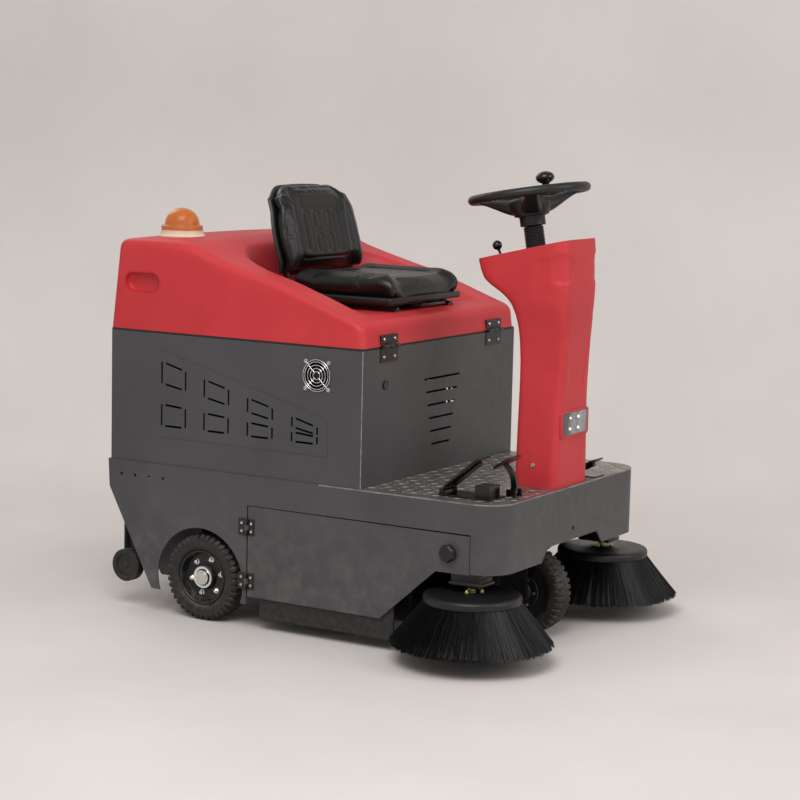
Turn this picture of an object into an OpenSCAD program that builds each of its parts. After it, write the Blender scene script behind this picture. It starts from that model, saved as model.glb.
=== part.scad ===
// Ride-on sweeper: three wheels, a tilting seat hood over a battery cabinet, a steering
// console on a chequer plate deck, a roller brush and two lifting side brushes.
// +X is the front, +Y the machine's left side, +Z up; the origin is on the floor.

/* [Chassis] */
// Half of the chassis width
half_w = 438; // [432:1:444]
// Front face of the chassis
front_x = 600; // [596:1:604]
// Rear face of the chassis
rear_x = -704; // [-708:1:-700]
// Height of the deck surface
deck_z = 441; // [441:1:441]
// Radius of the two front corners of the chassis
corner_r = 85; // [80:1:90]
// Thickness of the chassis sheet
sheet = 4; // [3:0.5:5]

/* [Wheels] */
// Tyre radius of all three wheels
tyre_r = 125; // [125:1:125]
// X of the rear wheel centres
rear_wheel_x = -371; // [-375:1:-368]
// Y of the middle of a rear wheel
rear_wheel_y = 394.5; // [394:0.5:396]
// X of the front wheel and of the steering axis
steer_x = 460; // [458:1:462]
// Width of a rear tyre
rear_tyre_w = 75; // [72:1:76]
// Width of the front tyre
front_tyre_w = 80; // [76:1:82]

/* [Brushes] */
// X of the side brush centres
side_brush_x = 503; // [503:1:503]
// Y of the side brush centres
side_brush_y = 398.5; // [398.5:1:398.5]
// Radius of the circle that the side bristle tips make
bristle_r = 226.5; // [226.5:1:226.5]
// Height of the bristle tips with the brushes lifted
bristle_z = 52; // [52:1:56]
// X of the roller brush shaft
roller_x = 54; // [50:1:58]
// Radius over the roller brush bristles
roller_r = 148; // [146:1:150]

/* [Cabinet and hood] */
// Half of the cabinet width
cab_w = 434; // [430:1:434]
// Rear face of the cabinet
cab_rear = -697; // [-700:1:-695]
// Front face of the cabinet
cab_front = 163.5; // [163.5:1:163.5]
// Top edge of the cabinet sheet
cab_top = 820; // [820:1:820]
// Bottom edge of the hood
seam_z = 826; // [826:1:826]
// Floor of the seat well
well_z = 905; // [903:1:907]

/* [Controls] */
// Outer radius of the steering wheel rim
wheel_r = 173; // [170:1:176]
// Backward tilt of the steering wheel
wheel_tilt = 10; // [10:1:10]
// Height of the middle of the steering wheel rim
wheel_z = 1248; // [1248:1:1248]
// Backrest lean
seat_lean = 15; // [13:1:17]

/* [Hidden] */
$fn = 64;

run_fit = 0.05;            // radial clearance of a running fit
gap = 0.4;                 // clearance between faces that slide past each other
plate_x = 30;              // rear edge of the chequer plate
rail_y = 300;              // inner face of a frame rail
rail_w = 40;
rail_z = 377;              // underside of the frame rails
axle_r = 15;
steerer_r = 25;
column_r = 14;
rod_r = 12;
roller_shaft_r = 12;
roller_z = 150;
door_hinge_x = -207;
door_hinge_y = half_w + 6;
door_hinge_z = [115, 270];
hood_hinge_x = cab_front + 6.5;
hood_hinge_y = 300;
knob_x = 453;
knob_z = 302;
fan_x = 17;
fan_z = 743;
beacon_x = -585;
beacon_y = -250;
hood_top = 1086;
vent_pitch = 150;
vent_w = 84;
vent_x = -515;
slot = 6;
// Height and fall per millimetre of the four lines that the vent windows follow
vent_lines = [[739, 0.2627], [677, 0.1857], [616, 0.0826], [554, 0.004]];

// Extrudes a drawing of X and Z along Y, from y0 to y1
module along_y(y0, y1) {
    translate([0, y1, 0]) rotate([90, 0, 0]) linear_extrude(y1 - y0) children();
}

// Extrudes a drawing of Y and Z along X, from x0 to x1
module along_x(x0, x1) {
    translate([x0, 0, 0]) rotate([90, 0, 90]) linear_extrude(x1 - x0) children();
}

// A box between two corners
module block(a, b) {
    translate(a) cube([b[0] - a[0], b[1] - a[1], b[2] - a[2]]);
}

// A cylinder along Y
module rod_y(x, y0, y1, z, r) {
    translate([x, y0, z]) rotate([-90, 0, 0]) cylinder(r = r, h = y1 - y0);
}

module both_sides() {
    children();
    mirror([0, 1, 0]) children();
}

// Puts a piece drawn for the left side on side s: 1 is left, -1 is right
module on_side(s) {
    if (s > 0) children();
    else mirror([0, 1, 0]) children();
}

// A box with round corners and edges
module pillow(size, r) {
    hull()
        for (i = [[0, 1, 1], [1, 0, 1], [1, 1, 0], [0.29, 0.29, 1], [0.29, 1, 0.29],
                  [1, 0.29, 0.29], [0.41, 0.41, 0.41]])
            translate(r * i) cube(size - 2 * r * i);
}

// ---------------------------------------------------------------- chassis

module plan(inset) {
    hull() {
        for (s = [-1, 1])
            translate([front_x - corner_r, s * (half_w - corner_r)])
                circle(corner_r - inset, $fn = 48);
        translate([rear_x + inset, inset - half_w]) square([20, 2 * (half_w - inset)]);
    }
}

door_bottom = 92;
door_front = 512;
door_top = 354;

module side_outline() {
    difference() {
        polygon([
            [rear_x, 437], [rear_x + 4, 360], [-544, 73],
            [door_hinge_x - 2, 70], [door_hinge_x - 2, door_top + 2],
            [door_front + 2, door_top + 2], [door_front + 2, 250], [front_x, 250],
            [front_x, 437]
        ]);
        translate([rear_wheel_x, 121]) circle(150);
    }
}

module chassis_shell() {
    color("dimgray") difference() {
        union() {
            intersection() {
                translate([0, 0, 60]) linear_extrude(377) difference() {
                    plan(0);
                    plan(sheet);
                }
                along_y(-half_w, half_w) side_outline();
            }
            intersection() {
                translate([0, 0, 437]) linear_extrude(4) plan(0);
                block([rear_x, -half_w, 430], [plate_x, half_w, 450]);
            }
        }
        along_x(front_x - 50, front_x + 1)
            polygon([[-190, 249], [-152, 288], [152, 288], [190, 249]]);
        translate([front_x - 10, 0, 320]) rotate([0, 90, 0]) cylinder(r = 7, h = 20);
        for (i = [0 : 3])
            rod_y(-656 + 50 * i, -half_w - 1, half_w + 1, 400, 4.5);
    }
}

module floor_plate() {
    color("silver") difference() {
        intersection() {
            translate([0, 0, 437]) linear_extrude(4) plan(0);
            block([plate_x, -half_w, 430], [front_x, half_w, 450]);
        }
        translate([steer_x, 0, 430]) cylinder(r = 45, h = 20);
    }
}

module chassis_frame() {
    color("black") difference() {
        union() {
            both_sides() {
                block([-640, rail_y, rail_z], [560, rail_y + rail_w, 437]);
                // carrier of the rear wheel
                block([rear_wheel_x - 30, 320, 96], [rear_wheel_x + 30, 340, rail_z]);
                // side of the roller brush tunnel, and the strip that holds the skirt
                block([-170, 340, 70], [280, 346, 437]);
                for (x = [-150, 240]) block([x, 346, 140], [x + 20, 420, 150]);
                block([-168, 420, 110], [276, 424, 160]);
                // runner of the hopper
                block([-660, 388, 322], [-430, half_w - sheet, 330 - gap]);
                // guide of the side brush lift
                translate([side_brush_x, 370, 345]) cylinder(r = 20, h = 92);
                block([side_brush_x - 20, 338, rail_z], [side_brush_x + 20, 370, 437]);
            }
            for (x = [-620, -300, 330, 530])
                block([x, -rail_y, 397], [x + 30, rail_y, 437]);
            block([steer_x - 100, -rail_y, 425], [steer_x + 70, rail_y, 437]);
            translate([steer_x, 0, 362]) cylinder(r = 38, h = 75);
        }
        translate([steer_x, 0, 350]) cylinder(r = steerer_r + run_fit, h = 100);
        both_sides()
            translate([side_brush_x, 370, 340]) cylinder(r = rod_r + run_fit, h = 92);
        rod_y(roller_x, -350, 350, roller_z, roller_shaft_r + run_fit);
    }
}

module rear_axle() {
    color("silver") both_sides() {
        rod_y(rear_wheel_x, 340, 430, tyre_r, axle_r);
        rod_y(rear_wheel_x, 340, 344, tyre_r, 30);
        rod_y(rear_wheel_x, rear_wheel_y + 28.5, rear_wheel_y + 34.5, tyre_r, 21);
    }
}

module side_skirts() {
    color("black") both_sides() block([-168, 424, 34], [276, 430, 150]);
}

// ---------------------------------------------------------------- wheels

// A tyre about the Z axis, with rounded shoulders
module tyre(w, bead_r) {
    h = w / 2;
    rotate_extrude() polygon([
        [bead_r, -h + 6], [bead_r + 8, -h], [tyre_r - 16, -h], [tyre_r - 5, -h + 5],
        [tyre_r, -h + 14], [tyre_r, h - 14], [tyre_r - 5, h - 5], [tyre_r - 16, h],
        [bead_r + 8, h], [bead_r, h - 6]
    ]);
}

module rim() {
    difference() {
        rotate_extrude() polygon([
            [axle_r + run_fit, -28], [34, -28], [34, 0], [64, 0], [71, -31.5],
            [80, -31.5], [80, 31.5], [71, 31.5], [66, 8], [34, 8], [34, 28],
            [axle_r + run_fit, 28]
        ]);
    }
    for (i = [0 : 5])
        rotate([0, 0, 60 * i]) translate([52, 0, 8]) cylinder(r = 8, h = 9);
}

module rear_wheel_at(s) {
    translate([rear_wheel_x, s * rear_wheel_y, tyre_r]) rotate([s * -90, 0, 0]) children();
}

module rear_tyre_right() { color("black") rear_wheel_at(-1) tyre(rear_tyre_w, 80); }
module rear_tyre_left() { color("black") rear_wheel_at(1) tyre(rear_tyre_w, 80); }
module rear_rim_right() { color("dimgray") rear_wheel_at(-1) rim(); }
module rear_rim_left() { color("dimgray") rear_wheel_at(1) rim(); }

module front_tyre() {
    color("black") translate([steer_x, 0, tyre_r]) rotate([90, 0, 0])
        tyre(front_tyre_w, 85);
}

module front_hub_motor() {
    color("gray") translate([steer_x, 0, tyre_r]) rotate([90, 0, 0]) rotate_extrude()
        polygon([
            [10 + run_fit, -42], [30, -42], [34, -34], [85, -34], [85, 34], [34, 34],
            [30, 42], [10 + run_fit, 42]
        ]);
}

module front_fork() {
    arm_in = front_tyre_w / 2 + 6;
    color("black") difference() {
        union() {
            both_sides() {
                block([steer_x - 25, arm_in, tyre_r], [steer_x + 25, arm_in + 10, 260]);
                rod_y(steer_x, arm_in, arm_in + 10, tyre_r, 25);
            }
            block([steer_x - 45, -arm_in - 10, 260], [steer_x + 45, arm_in + 10, 272]);
            translate([steer_x, 0, 272]) cylinder(r1 = 42, r2 = 30, h = 40);
            translate([steer_x, 0, 312]) cylinder(r = 30, h = 362 - gap - 312);
            translate([steer_x, 0, 360]) cylinder(r = steerer_r, h = 70);
            translate([steer_x, 0, 428]) cylinder(r = 16, h = 628);
        }
    }
    color("black") rod_y(steer_x, -arm_in, arm_in, tyre_r, 10);
}

// ---------------------------------------------------------------- console

// Height, rear X, front X and half width of the console's level sections
sections = [
    [deck_z, 457, 590, 105], [482, 457, 590, 105], [614, 456, 591, 97],
    [679, 455, 592, 92], [730, 455, 594, 89], [791, 454, 597, 88.5], [842, 452, 600, 89.5],
    [880, 447, 602, 93], [916, 439, 604, 98], [951, 424, 606, 104], [976, 390, 607, 107],
    [991, 361, 607.5, 108], [1011, 333, 608, 109], [1040, 323, 608, 109.5],
    [1064, 318, 607, 110], [1150, 308, 600, 110]
];

function corner(cx, cy, r, start, n) =
    [for (i = [0 : n]) [cx + r * cos(start + 90 * i / n), cy + r * sin(start + 90 * i / n)]];

function level(s, t, n = 6) =
    let (xr = s[1] + t, xf = s[2] - t, w = s[3] - t, r = 26 - t)
    [for (p = concat(
        corner(xf - r, w - r, r, 0, n), corner(xr + r, w - r, r, 90, n),
        corner(xr + r, r - w, r, 180, n), corner(xf - r, r - w, r, 270, n)))
        [p[0], p[1], s[0]]];

module console_body(t) {
    rings = [for (s = sections) level(s, t)];
    n = len(rings[0]);
    m = len(rings);
    faces = concat(
        [[for (i = [0 : n - 1]) i]],
        [[for (i = [n - 1 : -1 : 0]) (m - 1) * n + i]],
        [for (k = [0 : m - 2], i = [0 : n - 1])
            [k * n + i, (k + 1) * n + i, (k + 1) * n + (i + 1) % n, k * n + (i + 1) % n]]
    );
    polyhedron(points = [for (r = rings, p = r) p], faces = faces, convexity = 6);
}

// Everything above the sloped plane that passes drop below the console's top edge
dash_slope = atan2(62, 262);
module above_dash(drop) {
    translate([318, -200, 1064 - drop]) rotate([0, -dash_slope, 0])
        translate([-300, 0, 0]) cube([800, 400, 300]);
}

wall = 5;
dash_drop = 14;
module console_cover() {
    color("firebrick") difference() {
        union() {
            console_body(0);
            // moulded rib on the rear face round the steering shaft
            translate([steer_x, 0, deck_z]) cylinder(r = 23, h = 480);
        }
        translate([steer_x, 0, deck_z - 1]) cylinder(r = 19.5, h = 500);
        intersection() {
            console_body(wall);
            translate([0, -200, deck_z - 1]) cube([900, 400, 900]);
        }
        block([450, -105 + wall + 2, deck_z - 1], [588, 105 - wall - 2, deck_z + 5]);
        above_dash(0);
        block([570, -76, 585], [620, 76, 651]);
    }
}

// A drilling through the dash panel at x and y, square to the panel
module at_dash(x, y, h) {
    translate([x, y, 1064 - dash_drop + (x - 318) * tan(dash_slope)])
        rotate([0, -dash_slope, 0]) translate([0, 0, h]) children();
}

module dash_panel() {
    color("black") difference() {
        intersection() {
            console_body(wall + 0.2);
            above_dash(dash_drop + 4);
        }
        above_dash(dash_drop);
        translate([450, 0, 1040]) cylinder(r = 26, h = 80);
        at_dash(385, -60, -10) translate([-20, -6, 0]) cube([40, 12, 20]);
        at_dash(372, 0, -10) cylinder(r = 8.3, h = 20);
        at_dash(395, 60, -10) cylinder(r = 9.3, h = 20);
    }
}

module headlight_lens() {
    color("white") block([584, -76, 585], [594, 76, 651]);
}

// Local frame of the steering wheel: origin in the middle of the rim, Z along the shaft
module at_wheel() {
    translate([429, 0, wheel_z]) rotate([0, -wheel_tilt, 0]) children();
}

module steering_boot() {
    rib = 6;
    color("black") at_wheel() rotate_extrude() polygon(concat(
        [[19, -165], [36, -165], [36, -150], [28.5, -150]],
        [for (i = [0 : 8]) for (p = [[28.5, 1], [28.5, 3.5], [26, 4], [26, 6]])
            [p[0], -146 + rib * i + p[1]]],
        [[26, -91], [19, -91]]
    ));
}

module steering_wheel() {
    color("black") at_wheel() difference() {
        union() {
            rotate_extrude() translate([wheel_r - 14, 0]) circle(14, $fn = 32);
            translate([0, 0, -62]) cylinder(r1 = 40, r2 = 62, h = 50);
            translate([0, 0, -90]) cylinder(r = 36, h = 29);
            translate([0, 0, -172]) cylinder(r = column_r, h = 92);
            translate([0, 0, -176]) sphere(column_r - 1);
            for (a = [60, 180, 300]) rotate([0, 0, a]) rotate([90, 0, 0])
                translate([0, 0, -16]) linear_extrude(32)
                    polygon([[30, -56], [62, -48], [156, -8], [156, 6], [120, -2], [50, -14],
                        [30, -14]]);
            rotate([0, 0, 97]) translate([wheel_r - 45, -13, -8]) cube([28, 26, 24]);
        }
        translate([0, 0, -24]) cylinder(r = 30.4, h = 40);
        rotate([0, 0, 97]) translate([wheel_r - 31, 0, 1]) cylinder(r = 5 + run_fit, h = 30);
    }
}

module horn_button() {
    color("black") at_wheel() rotate_extrude()
        polygon([[0, -20], [30, -20], [30, -12], [26, -8], [12, -6], [0, -5.5]]);
}

module spinner_knob() {
    color("black") at_wheel() rotate([0, 0, 97]) translate([wheel_r - 31, 0, 0])
        rotate_extrude() polygon([
            [0, 2], [5, 2], [5, 16 + gap], [10, 16 + gap], [9, 26], [18, 29], [25, 34],
            [27, 42], [26, 52], [20, 60], [10, 64], [0, 64.6]
        ]);
}

module direction_lever() {
    ball = 13.5;
    color("black") translate([384, -60, 1062]) rotate([0, -25, 0]) {
        rotate_extrude() polygon(concat(
            [[0, 0], [4.5, 0], [3.5, 46 - ball * cos(15)]],
            [for (a = [15 : 15 : 180]) [ball * sin(a), 46 - ball * cos(a)]]
        ));
        rod_y(0, -6, 6, 0, 6);
    }
}

module key_switch() {
    color("silver") at_dash(372, 0, 0) {
        translate([0, 0, -9]) cylinder(r = 8, h = 13);
        translate([-1, -7, 3]) cube([2, 14, 12]);
    }
}

module emergency_stop() {
    color("red") at_dash(395, 60, 0) {
        translate([0, 0, -9]) cylinder(r = 9, h = 15);
        translate([0, 0, 5]) cylinder(r1 = 15, r2 = 13, h = 9);
    }
}

// ---------------------------------------------------------------- pedals

module pedal_bracket() {
    color("black") {
        block([378, -378, deck_z], [540, -298, deck_z + 5]);
        for (y = [-376, -306]) block([379, y, deck_z + 5], [392, y + 6, deck_z + 19]);
        rod_y(385, -377, -299, 454, 3);
        block([484, -368, deck_z + 5], [530, -312, 478]);
        // hinge blocks of the brake pedal and of the flap pedal
        for (y = [-283, -249]) block([534, y, deck_z], [562, y + 8, deck_z + 20]);
        rod_y(548, -284, -240, 452, 4);
        block([510, 148, deck_z], [590, 212, deck_z + 3]);
        for (y = [149, 204]) block([512, y, deck_z + 3], [526, y + 7, deck_z + 15]);
        rod_y(519, 148, 212, 450, 3);
    }
}

module accelerator_pedal() {
    angle = 40;
    color("black") translate([385, 0, 454]) difference() {
        union() {
            rod_y(0, -369, -307, 0, 7);
            rotate([0, -angle, 0]) block([0, -375, 2], [146, -301, 9]);
        }
        rod_y(0, -380, -300, 0, 3 + run_fit);
        rotate([0, -angle, 0]) for (y = [-376, -306.4]) block([-9, y - 1, -9], [11, y + 7.4, 10]);
    }
}

module brake_pedal() {
    color("black") {
        difference() {
            union() {
                rod_y(548, -274.6, -249.4, 452, 9);
                along_y(-268, -256) intersection() {
                    translate([458, 452]) difference() {
                        circle(98);
                        circle(82);
                    }
                    translate([458, 456]) square([100, 76]);
                }
            }
            rod_y(548, -290, -240, 452, 4 + run_fit);
        }
        translate([524, -262, 528]) rotate([0, -32, 0])
            translate([-28, -34, 0]) cube([60, 68, 10]);
    }
}

module flap_pedal() {
    color("black") translate([519, 0, 450]) difference() {
        union() {
            rod_y(0, 156.4, 203.6, 0, 6);
            rotate([0, -28, 0]) block([0, 151, 1], [78, 209, 8]);
        }
        rod_y(0, 140, 220, 0, 3 + run_fit);
        rotate([0, -28, 0]) for (y = [149, 204]) block([-8, y - 1, -8], [12, y + 7.4, 9]);
    }
}

// ---------------------------------------------------------------- cabinet

function vent_z(line, x) = vent_lines[line][0] - vent_lines[line][1] * (x - vent_x);

module side_vents() {
    h = slot / 2;
    for (col = [0 : 3], row = [0, 2]) {
        xl = vent_x + vent_pitch * col;
        xr = xl + vent_w;
        for (x = [xl, xr])
            translate([x - h, vent_z(row + 1, x)])
                square([slot, vent_z(row, x) - vent_z(row + 1, x)]);
        for (line = [row, row + 1])
            polygon([
                [xl + 13, vent_z(line, xl + 13) - h], [xr - 13, vent_z(line, xr - 13) - h],
                [xr - 13, vent_z(line, xr - 13) + h], [xl + 13, vent_z(line, xl + 13) + h]
            ]);
    }
}

module cabinet_shell() {
    t = 3;
    slots = [202, 179, 159, 139, 121, 104];
    color("dimgray") difference() {
        block([cab_rear, -cab_w, deck_z], [cab_front, cab_w, cab_top]);
        block([cab_rear + t, t - cab_w, deck_z - 1], [cab_front - t, cab_w - t, cab_top + 1]);
        along_y(-cab_w - 1, cab_w + 1) side_vents();
        rod_y(fan_x, -cab_w - 1, 0, fan_z, 42);
        for (i = [0 : 5])
            block([cab_front - 10, -slots[i] / 2, 712 - 38.2 * i - 3],
                [cab_front + 10, slots[i] / 2, 712 - 38.2 * i + 3]);
        translate([cab_front - 10, -315, 717]) rotate([0, 90, 0])
            cylinder(r = 9 + run_fit, h = 20);
    }
}

module hood_gasket() {
    color("black") difference() {
        block([cab_rear, -cab_w, cab_top], [cab_front - 1, cab_w, seam_z - gap]);
        block([cab_rear + 12, 12 - cab_w, cab_top - 1], [cab_front - 13, cab_w - 12, seam_z]);
    }
}

module cabinet_lock() {
    color("silver") translate([cab_front, -315, 717]) rotate([0, 90, 0]) {
        translate([0, 0, gap]) cylinder(r = 13, h = 4);
        translate([0, 0, -14]) cylinder(r = 9, h = 15);
        translate([-6, -6, -18]) cube([30, 12, 4]);
    }
}

module fan_guard() {
    color("silver") translate([fan_x, -cab_w, fan_z]) rotate([90, 0, 0]) {
        for (r = [12, 22, 32, 41])
            translate([0, 0, 3]) rotate_extrude() translate([r, 0]) square([2.4, 2.4]);
        for (a = [0 : 90 : 270]) rotate([0, 0, a + 45]) {
            translate([12, -1.2, 1.5]) cube([42, 2.4, 1.5]);
            translate([53, 0, 0]) cylinder(r = 6, h = 3);
        }
        translate([0, 0, 1.5]) cylinder(r = 13, h = 1.5);
    }
}

module cooling_fan() {
    color("black") translate([fan_x, -cab_w + 4, fan_z]) rotate([-90, 0, 0]) {
        cylinder(r = 17, h = 22);
        for (a = [0 : 51.43 : 350]) rotate([0, 0, a]) translate([15, -1.2, 0])
            rotate([32, 0, 0]) translate([0, 0, 2]) cube([24, 2.4, 18]);
    }
}

module batteries() {
    color("black") for (x = [-600, -255], y = [-178, 6]) {
        block([x, y, deck_z], [x + 330, y + 172, 650]);
        for (px = [30, 300]) translate([x + px, y + 86, 650]) cylinder(r = 9, h = 16);
    }
}

module motor_controller() {
    color("gray") {
        block([-120, -340, deck_z], [60, -220, 455]);
        for (i = [0 : 8]) block([-120 + 21 * i, -340, 455], [-108 + 21 * i, -220, 490]);
    }
}

module vacuum_fan() {
    color("gray") difference() {
        union() {
            translate([-480, 310, deck_z]) cylinder(r = 95, h = 90);
            block([-480, 345, deck_z], [-330, 405, 531]);
        }
        translate([-480, 310, deck_z + 8]) cylinder(r = 85, h = 74);
        block([-480, 353, deck_z + 8], [-320, 397, 523]);
        translate([-480, 310, deck_z + 50]) cylinder(r = 38, h = 60);
    }
    color("gray") translate([-480, 310, deck_z + 8]) cylinder(r = 30, h = 50);
}

// ---------------------------------------------------------------- hinges and fasteners

module hinge_leaves() {
    color("black") {
        // lower leaves of the hood hinges
        both_sides() difference() {
            union() {
                block([cab_front, 255, 781], [cab_front + 2.5, 345, 820]);
                for (y = [255, 315.3]) {
                    rod_y(hood_hinge_x, y, y + 29.7, seam_z, 5);
                    block([cab_front, y, 819], [cab_front + 6.5, y + 29.7, 824]);
                }
                rod_y(hood_hinge_x, 255, 345, seam_z, 2.5);
            }
            block([cab_front - 3, 200, cab_top + 2], [cab_front, 400, seam_z + 9]);
        }
        // fixed leaves of the door hinges
        both_sides() for (z = door_hinge_z) {
            block([-236, half_w, z], [door_hinge_x - 5.5, half_w + 2.5, z + 47]);
            for (k = [0, 31.6]) {
                translate([door_hinge_x, door_hinge_y, z + k]) cylinder(r = 5, h = 15.4);
                block([door_hinge_x - 7, half_w, z + k], [door_hinge_x - 3, door_hinge_y, z + k + 15.4]);
            }
            translate([door_hinge_x, door_hinge_y, z]) cylinder(r = 2.5, h = 47);
        }
    }
}

module fasteners() {
    color("silver") {
        both_sides() for (y = [272, 328]) translate([cab_front + 2.5, y, 796])
            rotate([0, 90, 0]) cylinder(r1 = 5, r2 = 3.5, h = 2.6);
        both_sides() for (z = door_hinge_z, k = [12, 35])
            rod_y(-224, half_w + 2.5, half_w + 5, z + k, 4.5);
        for (a = [45 : 90 : 315])
            rod_y(fan_x + 53 * cos(a), -cab_w - 6, -cab_w - 3, fan_z + 53 * sin(a), 4);
        both_sides() rod_y(520, 104.4, 109, 503, 7);
    }
}

// ---------------------------------------------------------------- hood

module hood_profile() {
    polygon([
        [-702, seam_z], [-694, 934], [-684, 1007], [-675, 1046], [-664, 1066], [-650, 1078],
        [-634, 1084], [-600, hood_top], [-440, hood_top], [-400, 1072], [-357, 1050],
        [-239, 1018], [-115, 985], [-22, 953], [67, 919], [118, 900], [140, 888],
        [152, 872], [158, 850], [cab_front, seam_z]
    ]);
}

// The seat well: open at the front, round at the rear, widening upwards
module seat_well(t) {
    r = 150 + t;
    translate([0, 0, well_z - t]) hull()
        for (x = [-215, 300], y = [-150, 150])
            translate([x, y, 0]) cylinder(r1 = r, r2 = r + 24, h = 200, $fn = 40);
}

module hand_hold(t) {
    along_y(cab_w - 24 - t, cab_w + 1) hull() {
        translate([-626, 962]) circle(28 + t);
        translate([-558, 962]) circle(28 + t);
    }
}

module hood_shell() {
    t = 6;
    color("firebrick") difference() {
        along_y(-cab_w, cab_w) hood_profile();
        difference() {
            translate([-270, 0, seam_z - 12]) scale([0.982, 1, 0.982])
                translate([270, 0, -seam_z]) along_y(t - cab_w, cab_w - t) hood_profile();
            seat_well(t);
            both_sides() hand_hold(t);
        }
        seat_well(0);
        both_sides() hand_hold(0);
    }
}

module hood_hinge_flaps() {
    color("black") both_sides() difference() {
        union() {
            block([cab_front, 255, 832], [cab_front + 2.5, 345, 857]);
            block([cab_front, 285.4, 826], [cab_front + 6.5, 314.6, 833]);
            rod_y(hood_hinge_x, 285.4, 314.6, seam_z, 5);
        }
        rod_y(hood_hinge_x, 280, 320, seam_z, 2.5 + run_fit);
    }
    // spacer pads between the flaps and the sloping face of the hood
    color("black") both_sides() difference() {
        block([145, 255, 832], [cab_front, 345, 857]);
        along_y(200, 400) offset(delta = 0.05) hood_profile();
    }
}

module beacon_base() {
    color("linen") translate([beacon_x, beacon_y, hood_top]) difference() {
        rotate_extrude() polygon([
            [0, 0], [68, 0], [68, 6], [64, 10], [62, 22], [0, 22]
        ]);
        translate([0, 0, 12]) cylinder(r = 9 + run_fit, h = 20);
    }
}

module beacon_dome() {
    color("orange") translate([beacon_x, beacon_y, hood_top + 22]) rotate_extrude()
        polygon(concat(
            [[56, 0], [61, 0], [61, 12], [58, 14], [50, 16]],
            [for (a = [0 : 9 : 90]) [50 * cos(a), 16 + 47 * sin(a)]],
            [for (a = [90 : -9 : 0]) [46 * cos(a), 12 + 47 * sin(a)]],
            [[56, 12]]
        ));
}

module beacon_reflector() {
    color("silver") translate([beacon_x, beacon_y, hood_top]) {
        translate([0, 0, 13]) cylinder(r = 9, h = 22);
        translate([0, 0, 35]) difference() {
            cylinder(r = 26, h = 26);
            translate([24, 0, 13]) rotate([90, 0, 0]) cylinder(r = 18, h = 60, center = true);
        }
    }
}

// ---------------------------------------------------------------- seat

pan_rear = -236;
pan_front = 112;
pan_z = 936;
seat_half = 206;

module at_back() {
    translate([-214, 0, 974]) rotate([0, -seat_lean, 0]) children();
}

module seat_shell() {
    color("black") {
        block([pan_rear, -190, 926], [85, 190, 934]);
        both_sides() block([-225, 136, 917 + gap], [80, 164, 926]);
        at_back() {
            translate([-68, -195, 10]) cube([6, 390, 285]);
            both_sides() block([-66, 120, -34], [-46, 150, 10]);
        }
        both_sides() block([-290, 120, 926], [pan_rear, 150, 944]);
    }
}

module seat_pan_cushion() {
    color("black") translate([pan_rear, -seat_half, 934.4])
        pillow([pan_front - pan_rear, 2 * seat_half, 66], 22);
}

module seat_back_cushion() {
    color("black") at_back() along_x(-61.6, -1.6)
        hull()
            for (y = [42 - seat_half, seat_half - 42], z = [72, 254])
                translate([y, z]) circle(42);
}

module seat_rails() {
    color("black") both_sides() {
        block([-225, 134, well_z], [100, 166, well_z + 5]);
        block([-225, 142, well_z + 5], [100, 158, 917]);
    }
}

module seat_lever() {
    color("black") {
        both_sides() {
            block([40, 58, 916.5], [126, 66, 921]);
            rod_y(40, 58, 66, 920, 4);
        }
        rod_y(126, -66, 66, 920, 4);
    }
}

// ---------------------------------------------------------------- doors

module door(s) {
    on_side(s) {
        difference() {
            union() {
                along_y(half_w - 3, half_w) polygon([
                    [door_hinge_x + 2, 94], [236, door_bottom], [408, 246],
                    [door_front, 247], [door_front, door_top - 2],
                    [door_hinge_x + 2, door_top]
                ]);
                for (z = door_hinge_z) {
                    block([door_hinge_x + 5.5, half_w, z], [-183, half_w + 2.5, z + 47]);
                    translate([door_hinge_x, door_hinge_y, z + 15.8]) cylinder(r = 5, h = 15.4);
                    block([door_hinge_x + 3, half_w, z + 15.8],
                        [door_hinge_x + 7, door_hinge_y, z + 31.2]);
                }
            }
            for (z = door_hinge_z)
                translate([door_hinge_x, door_hinge_y, z]) cylinder(r = 2.5 + run_fit, h = 60);
            rod_y(knob_x, 400, 500, knob_z, 6 + run_fit);
        }
    }
}

module door_knob(s) {
    on_side(s) {
        rod_y(knob_x, half_w + gap, half_w + 26, knob_z, 25);
        rod_y(knob_x, half_w - 7, half_w + 1, knob_z, 6);
        block([knob_x - 8, half_w - 7, knob_z - 8], [knob_x + 34, half_w - 3.4, knob_z + 8]);
    }
}

module door_right() { color("dimgray") door(-1); }
module door_left() { color("dimgray") door(1); }
module door_knob_right() { color("black") door_knob(-1); }
module door_knob_left() { color("black") door_knob(1); }

// ---------------------------------------------------------------- brushes

module main_brush_core() {
    color("silver") {
        rod_y(roller_x, -346, 346, roller_z, roller_shaft_r);
        rod_y(roller_x, -330, 330, roller_z, 60);
    }
}

module main_brush_bristles() {
    color("black") difference() {
        rod_y(roller_x, -328, 328, roller_z, roller_r);
        rod_y(roller_x, -330, 330, roller_z, 60);
    }
}

disc_top = bristle_z + 140;

module side_brush_motor(s) {
    color("black") on_side(s) {
        block([448, 355, disc_top + 22], [540, 424, 330]);
        translate([side_brush_x, 370, 330]) cylinder(r = rod_r, h = 95);
        translate([side_brush_x, side_brush_y, disc_top + 14]) cylinder(r = 16, h = 8);
    }
}

module side_brush_disc(s) {
    color("dimgray") translate([side_brush_x, s * side_brush_y, 0]) {
        rotate_extrude() polygon([
            [0, disc_top - 22], [134, disc_top - 22], [134, disc_top - 5],
            [129, disc_top], [0, disc_top]
        ]);
        translate([0, 0, disc_top]) cylinder(r = 9, h = 14 - gap);
        for (a = [0 : 120 : 240]) rotate([0, 0, a]) translate([24, 0, disc_top])
            cylinder(r = 6, h = 6);
    }
}

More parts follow.
